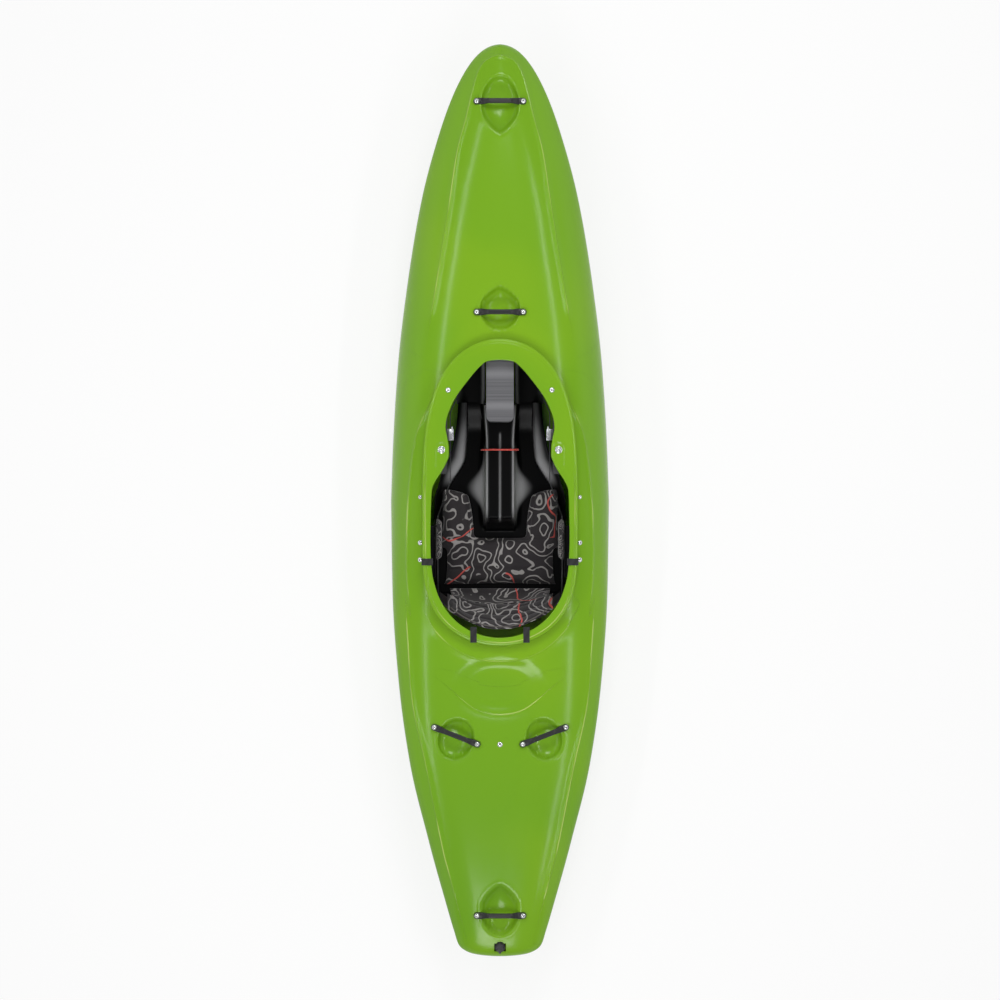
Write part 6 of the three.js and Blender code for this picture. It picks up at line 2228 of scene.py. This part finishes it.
@dataclass
class Outfitting:
    """The padded pieces: seat pad, hip pads, backband and thigh pads, in millimetres."""

    hip_face: float = 192.7
    band_radius: float = 270.0
    band_back: float = -352.0
    band_middle: float = 209.0
    band_reach: float = 83.0
    band_lean: float = 0.45
    band_angle: float = 38.0
    taper: float = 0.35
    frame_gap: float = 0.3
    piping_short: float = 3.0
    tray_top: float = 12.9

    def seat_seams(self, p: Array) -> Array:
        """Depth of the seat pad's seams: a welt inside the edge, two cross seams and puckers.

        Args:
            p: points of the piece.

        Returns:
            Depths.
        """
        x, y, up = np.abs(p[:, 0]), p[:, 1], smooth((p[:, 2] - 24) / 12)
        ahead = np.clip((y + 144) / 188, 0, 1) ** 2
        rear = np.minimum.reduce([176 - x, y + 262, -98 - y])
        lobe = np.minimum.reduce([186 - x, x - 74 - 26 * ahead, 44 - y, y + 144])
        inside = np.maximum(rear, lobe)
        sink = sewn_line(inside - 13, 2.6, 3.0)
        sink = sink + sewn_line(y + 112, 5.0, 5.0) * smooth((168 - x) / 12)
        sink = sink + sewn_line(y + 205, 2.6, 4.0) * smooth((168 - x) / 12)
        centre = sewn_line(p[:, 0], 3.6, 5.0) * smooth((-104 - y) / 20) * smooth((y + 205) / 30)
        return (sink + centre) * up

    def band(self, angle: Array, out: float, height: Array) -> Array:
        """Points on the backband's arc.

        Args:
            angle: angle round the arc in radians, nought at the back.
            out: distance inside the arc.
            height: height as a share of half the band's own, from -1 to 1.

        Returns:
            An array of points.
        """
        tall = self.band_reach * (1 - self.taper * (angle / math.radians(self.band_angle)) ** 2)
        z = self.band_middle + height * tall
        radius = self.band_radius - out
        y = self.band_back + self.band_radius - np.cos(angle) * radius
        return np.stack([np.sin(angle) * radius, y - self.band_lean * (z - self.band_middle), z], -1)

    def band_place(self, p: Array) -> tuple[Array, Array]:
        """Angle round the backband's arc, and distance inside it, of points.

        Args:
            p: the points.

        Returns:
            Angles in radians, and distances.
        """
        upright = p[:, 1] + self.band_lean * (p[:, 2] - self.band_middle)
        centre = self.band_back + self.band_radius
        return (np.arctan2(p[:, 0], centre - upright),
                self.band_radius - np.hypot(p[:, 0], centre - upright))

    def band_seams(self, p: Array) -> Array:
        """Depth of the backband's seams: three along it and one near each end.

        Args:
            p: points of the piece.

        Returns:
            Depths.
        """
        angle, inside = self.band_place(p)
        part = angle / math.radians(self.band_angle)
        tall = self.band_reach * (1 - self.taper * part ** 2)
        v = (p[:, 2] - self.band_middle) / tall
        sink = sum(sewn_line((v - at) * tall, 3.4, 4.0) for at in (-0.42, 0.05, 0.5))
        ends = sewn_line((np.abs(part) - 0.84) * 180, 2.6, 4.0)
        return (sink * smooth((0.84 - np.abs(part)) / 0.05) + ends) * smooth((inside - 8) / 6)

    def band_held(self, p: Array) -> Array:
        """Keeps the backband's pad in front of its frame.

        Args:
            p: points of the piece.

        Returns:
            The points in their new places.
        """
        angle, inside = self.band_place(p)
        back = np.clip(self.frame_gap - inside, 0, None)
        p = p.copy()
        p[:, 0] -= np.sin(angle) * back
        p[:, 1] += np.cos(angle) * back
        return p

    def apron(self) -> None:
        """A thin padded flap behind the seat pad, which closes the gap below the backband."""
        u, v = np.meshgrid(np.linspace(-1, 1, 61), np.linspace(0, 1, 16), indexing="ij")
        bow = 26 * u ** 2
        y = -264 - 46 * v ** 0.8 + bow * v
        z = 46 + 68 * v ** 1.4 + 1.6 * np.sin(9 * u) * v
        front = np.stack([152 * u * (1 - 0.06 * v), y, z], -1)
        back = front + np.array([0.0, -5.0, -3.0])
        flap = lofted("seat_apron", np.concatenate([front, back[:, ::-1]], 1))
        dressed(flap, Finishes.cloth, Body.SEAT)

    def hip_seams(self, p: Array) -> Array:
        """Depth of a hip pad's seam: a welt inside its edge, on the face towards the paddler."""
        edge = np.minimum.reduce([-44 - p[:, 1], p[:, 1] + 184, p[:, 2] - 82, 202 - p[:, 2]])
        return sewn_line(edge - 11, 2.2, 3.0) * smooth((self.hip_face - 8 - np.abs(p[:, 0])) / 6)

    def on_tray(self, p: Array) -> Array:
        """Keeps the seat pad above the tray."""
        return np.maximum(p, (-np.inf, -np.inf, self.tray_top))

    def on_hanger(self, p: Array) -> Array:
        """Keeps a hip pad inside the seat's hanger."""
        return np.clip(p, (-self.hip_face, -np.inf, -np.inf), (self.hip_face, np.inf, np.inf))

    def build(self) -> None:
        """Builds the seat pad, the hip pads, the backband's pad and piping, and the thigh pads."""
        self.apron()
        seat = StuffedPiece("seat_pad", "seat_cushion", Finishes.cloth, Body.SEAT, inset=3.0)
        seat.build(self.seat_seams, self.on_tray)
        for side in Side:
            hip = StuffedPiece(f"hip_pad_{side.word}", f"hip_cushion_{side.word}",
                               Finishes.hip_cloth, Body.SEAT, voxel=4.0, cap=5.0, inset=2.0)
            hip.build(self.hip_seams, self.on_hanger)
            node = f"thigh_pad_{side.word}"
            foam = softened(f"thigh_foam_{side.word}", node, 3.5, 3)
            dressed(foam, Finishes.foam, f"thigh_brace_{side.word}", node)
        band = StuffedPiece("backband_pad", "backband_cushion", Finishes.band_cloth,
                            Body.BACKBAND, cap=6.0)
        band.build(self.band_seams, self.band_held)
        reach = self.band_angle - self.piping_short
        angle = np.radians(np.linspace(-reach, reach, 90))
        piping = tube("backband_piping", self.band(angle, 13.0, np.full(angle.shape, 0.93)), 2.0, 10)
        dressed(piping, Finishes.piping, Body.BACKBAND)


@dataclass
class LadderStrap:
    """The toothed strap that draws the backband up, on its edge, in millimetres."""

    side: Side
    outfitting: Outfitting
    width: float = 14.0
    thickness: float = 2.6
    pitch: float = 3.6
    tooth: float = 0.5
    corners: Sequence[Point] = ((186, -208, 224), (186, -44, 232), (148, 58, 318), (148, 82, 318),
                                (148, 265, 318), (128, 310, 318))

    def path(self) -> Array:
        """The strap's middle line, with its corners eased.

        Returns:
            An array of points.
        """
        start = self.outfitting.band(np.radians([42 - 24 / 270 * 57.2958, 42.0]), -6.5,
                                     np.zeros(2))
        chain = np.vstack([start, np.array(self.corners, float)])
        run = np.concatenate([[0], np.cumsum(np.linalg.norm(np.diff(chain, axis=0), axis=1))])
        even = np.arange(0, run[-1], self.pitch / 4)
        line = np.stack([np.interp(even, run, chain[:, c]) for c in range(3)], 1)
        reach = 9
        kernel = np.hanning(2 * reach + 3)[1:-1]
        kernel /= kernel.sum()
        padded = np.vstack([np.repeat(line[:1], reach, 0), line, np.repeat(line[-1:], reach, 0)])
        eased = np.stack([np.convolve(padded[:, c], kernel, "valid") for c in range(3)], 1)
        return eased * np.array([self.side.value, 1, 1])

    def build(self) -> None:
        """Builds the strap with a tooth every few millimetres on both faces."""
        path = self.path()
        ahead = np.gradient(path, axis=0)
        flat = np.stack([-ahead[:, 1], ahead[:, 0], 0 * ahead[:, 0]], -1)
        flat /= np.linalg.norm(flat, axis=1)[:, None]
        number = np.arange(len(path))
        edge = np.full(len(path), self.thickness / 2)
        half = edge - self.tooth * (number % 4 < 2)
        lean = self.outfitting.band_lean * smooth((-208 - path[:, 1]) / 80)
        up = np.stack([0 * lean, -lean, 0 * lean + 1], -1) * self.width / 2
        rib = up * 0.72
        lines = [path + flat * s * w[:, None] + h for s, w, h in (
            (1, half, rib), (1, edge, up), (-1, edge, up), (-1, half, rib),
            (-1, half, -rib), (-1, edge, -up), (1, edge, -up), (1, half, -rib))]
        name = f"ladder_strap_{self.side.word}"
        strap = lofted(name + "_toothed", np.stack(lines, 1), False)
        dressed(strap, Finishes.fitting, Body.BACKBAND, name)


class Fittings:
    """Braces, ratchets, straps, rails and pedals, each from its solid with rounded edges."""

    def build(self) -> None:
        """Builds every fitting of both sides."""
        plastic, metal, strap = Finishes.fitting, Finishes.ratchet, Finishes.webbing
        bent = softened("backband_frame_bent", "backband_frame", 1.0)
        dressed(bent, plastic, Body.BACKBAND, "backband_frame")
        for side in Side:
            word = side.word
            brace = f"thigh_brace_{word}"
            for kind, name, width, finish, body in (
                    ("thigh_brace", f"{brace}_plate", 1.6, plastic, brace),
                    ("ratchet_base", f"ratchet_channel_{word}", 0.5, metal, brace),
                    ("ratchet_lever", f"ratchet_lever_{word}_pressed", 0.7, metal,
                     f"ratchet_lever_{word}"),
                    ("ratchet_pin", f"ratchet_pin_{word}_turned", 0.3, Finishes.steel, brace),
                    ("rear_strap", f"rear_webbing_{word}", 0.8, strap, Body.SHELL),
                    ("rim_strap", f"rim_webbing_{word}", 0.8, strap, Body.SHELL),
                    ("foot_rail", f"foot_rail_{word}_extruded", 0.7, Finishes.rail, Body.SHELL),
                    ("foot_pedal", f"foot_pedal_{word}_moulded", 2.2, plastic,
                     f"foot_pedal_{word}")):
                node = f"{kind}_{word}"
                dressed(softened(name, node, width), finish, body, node)


def main() -> None:
    """Builds the scene piece by piece: camera and cord first, then the shell, then the rest."""
    logging.basicConfig(level=logging.INFO, format="%(message)s")
    Studio().build()
    Bungee().build()
    deck = Deck(HullLines())
    rim = CockpitRim()
    Shell(deck, rim).build()
    fastenings = Fastenings(deck, rim)
    fastenings.build()
    for node, x, y, turn in (("bow_handle", 0, 1192, 0), ("cockpit_handle", 0, 563, 0),
                             ("rear_handle_left", -132, -701, -21.3),
                             ("rear_handle_right", 132, -701, 21.3),
                             ("stern_handle", 0, -1241, 0)):
        GrabHandle(deck, node, x, y, turn).build(fastenings)
    DrainPlug(deck).build()
    FoamPillars(deck).build()
    SeatMoulding().build()
    outfitting = Outfitting()
    outfitting.build()
    for side in Side:
        LadderStrap(side, outfitting).build()
    Fittings().build()


if __name__ == "__main__":
    main()
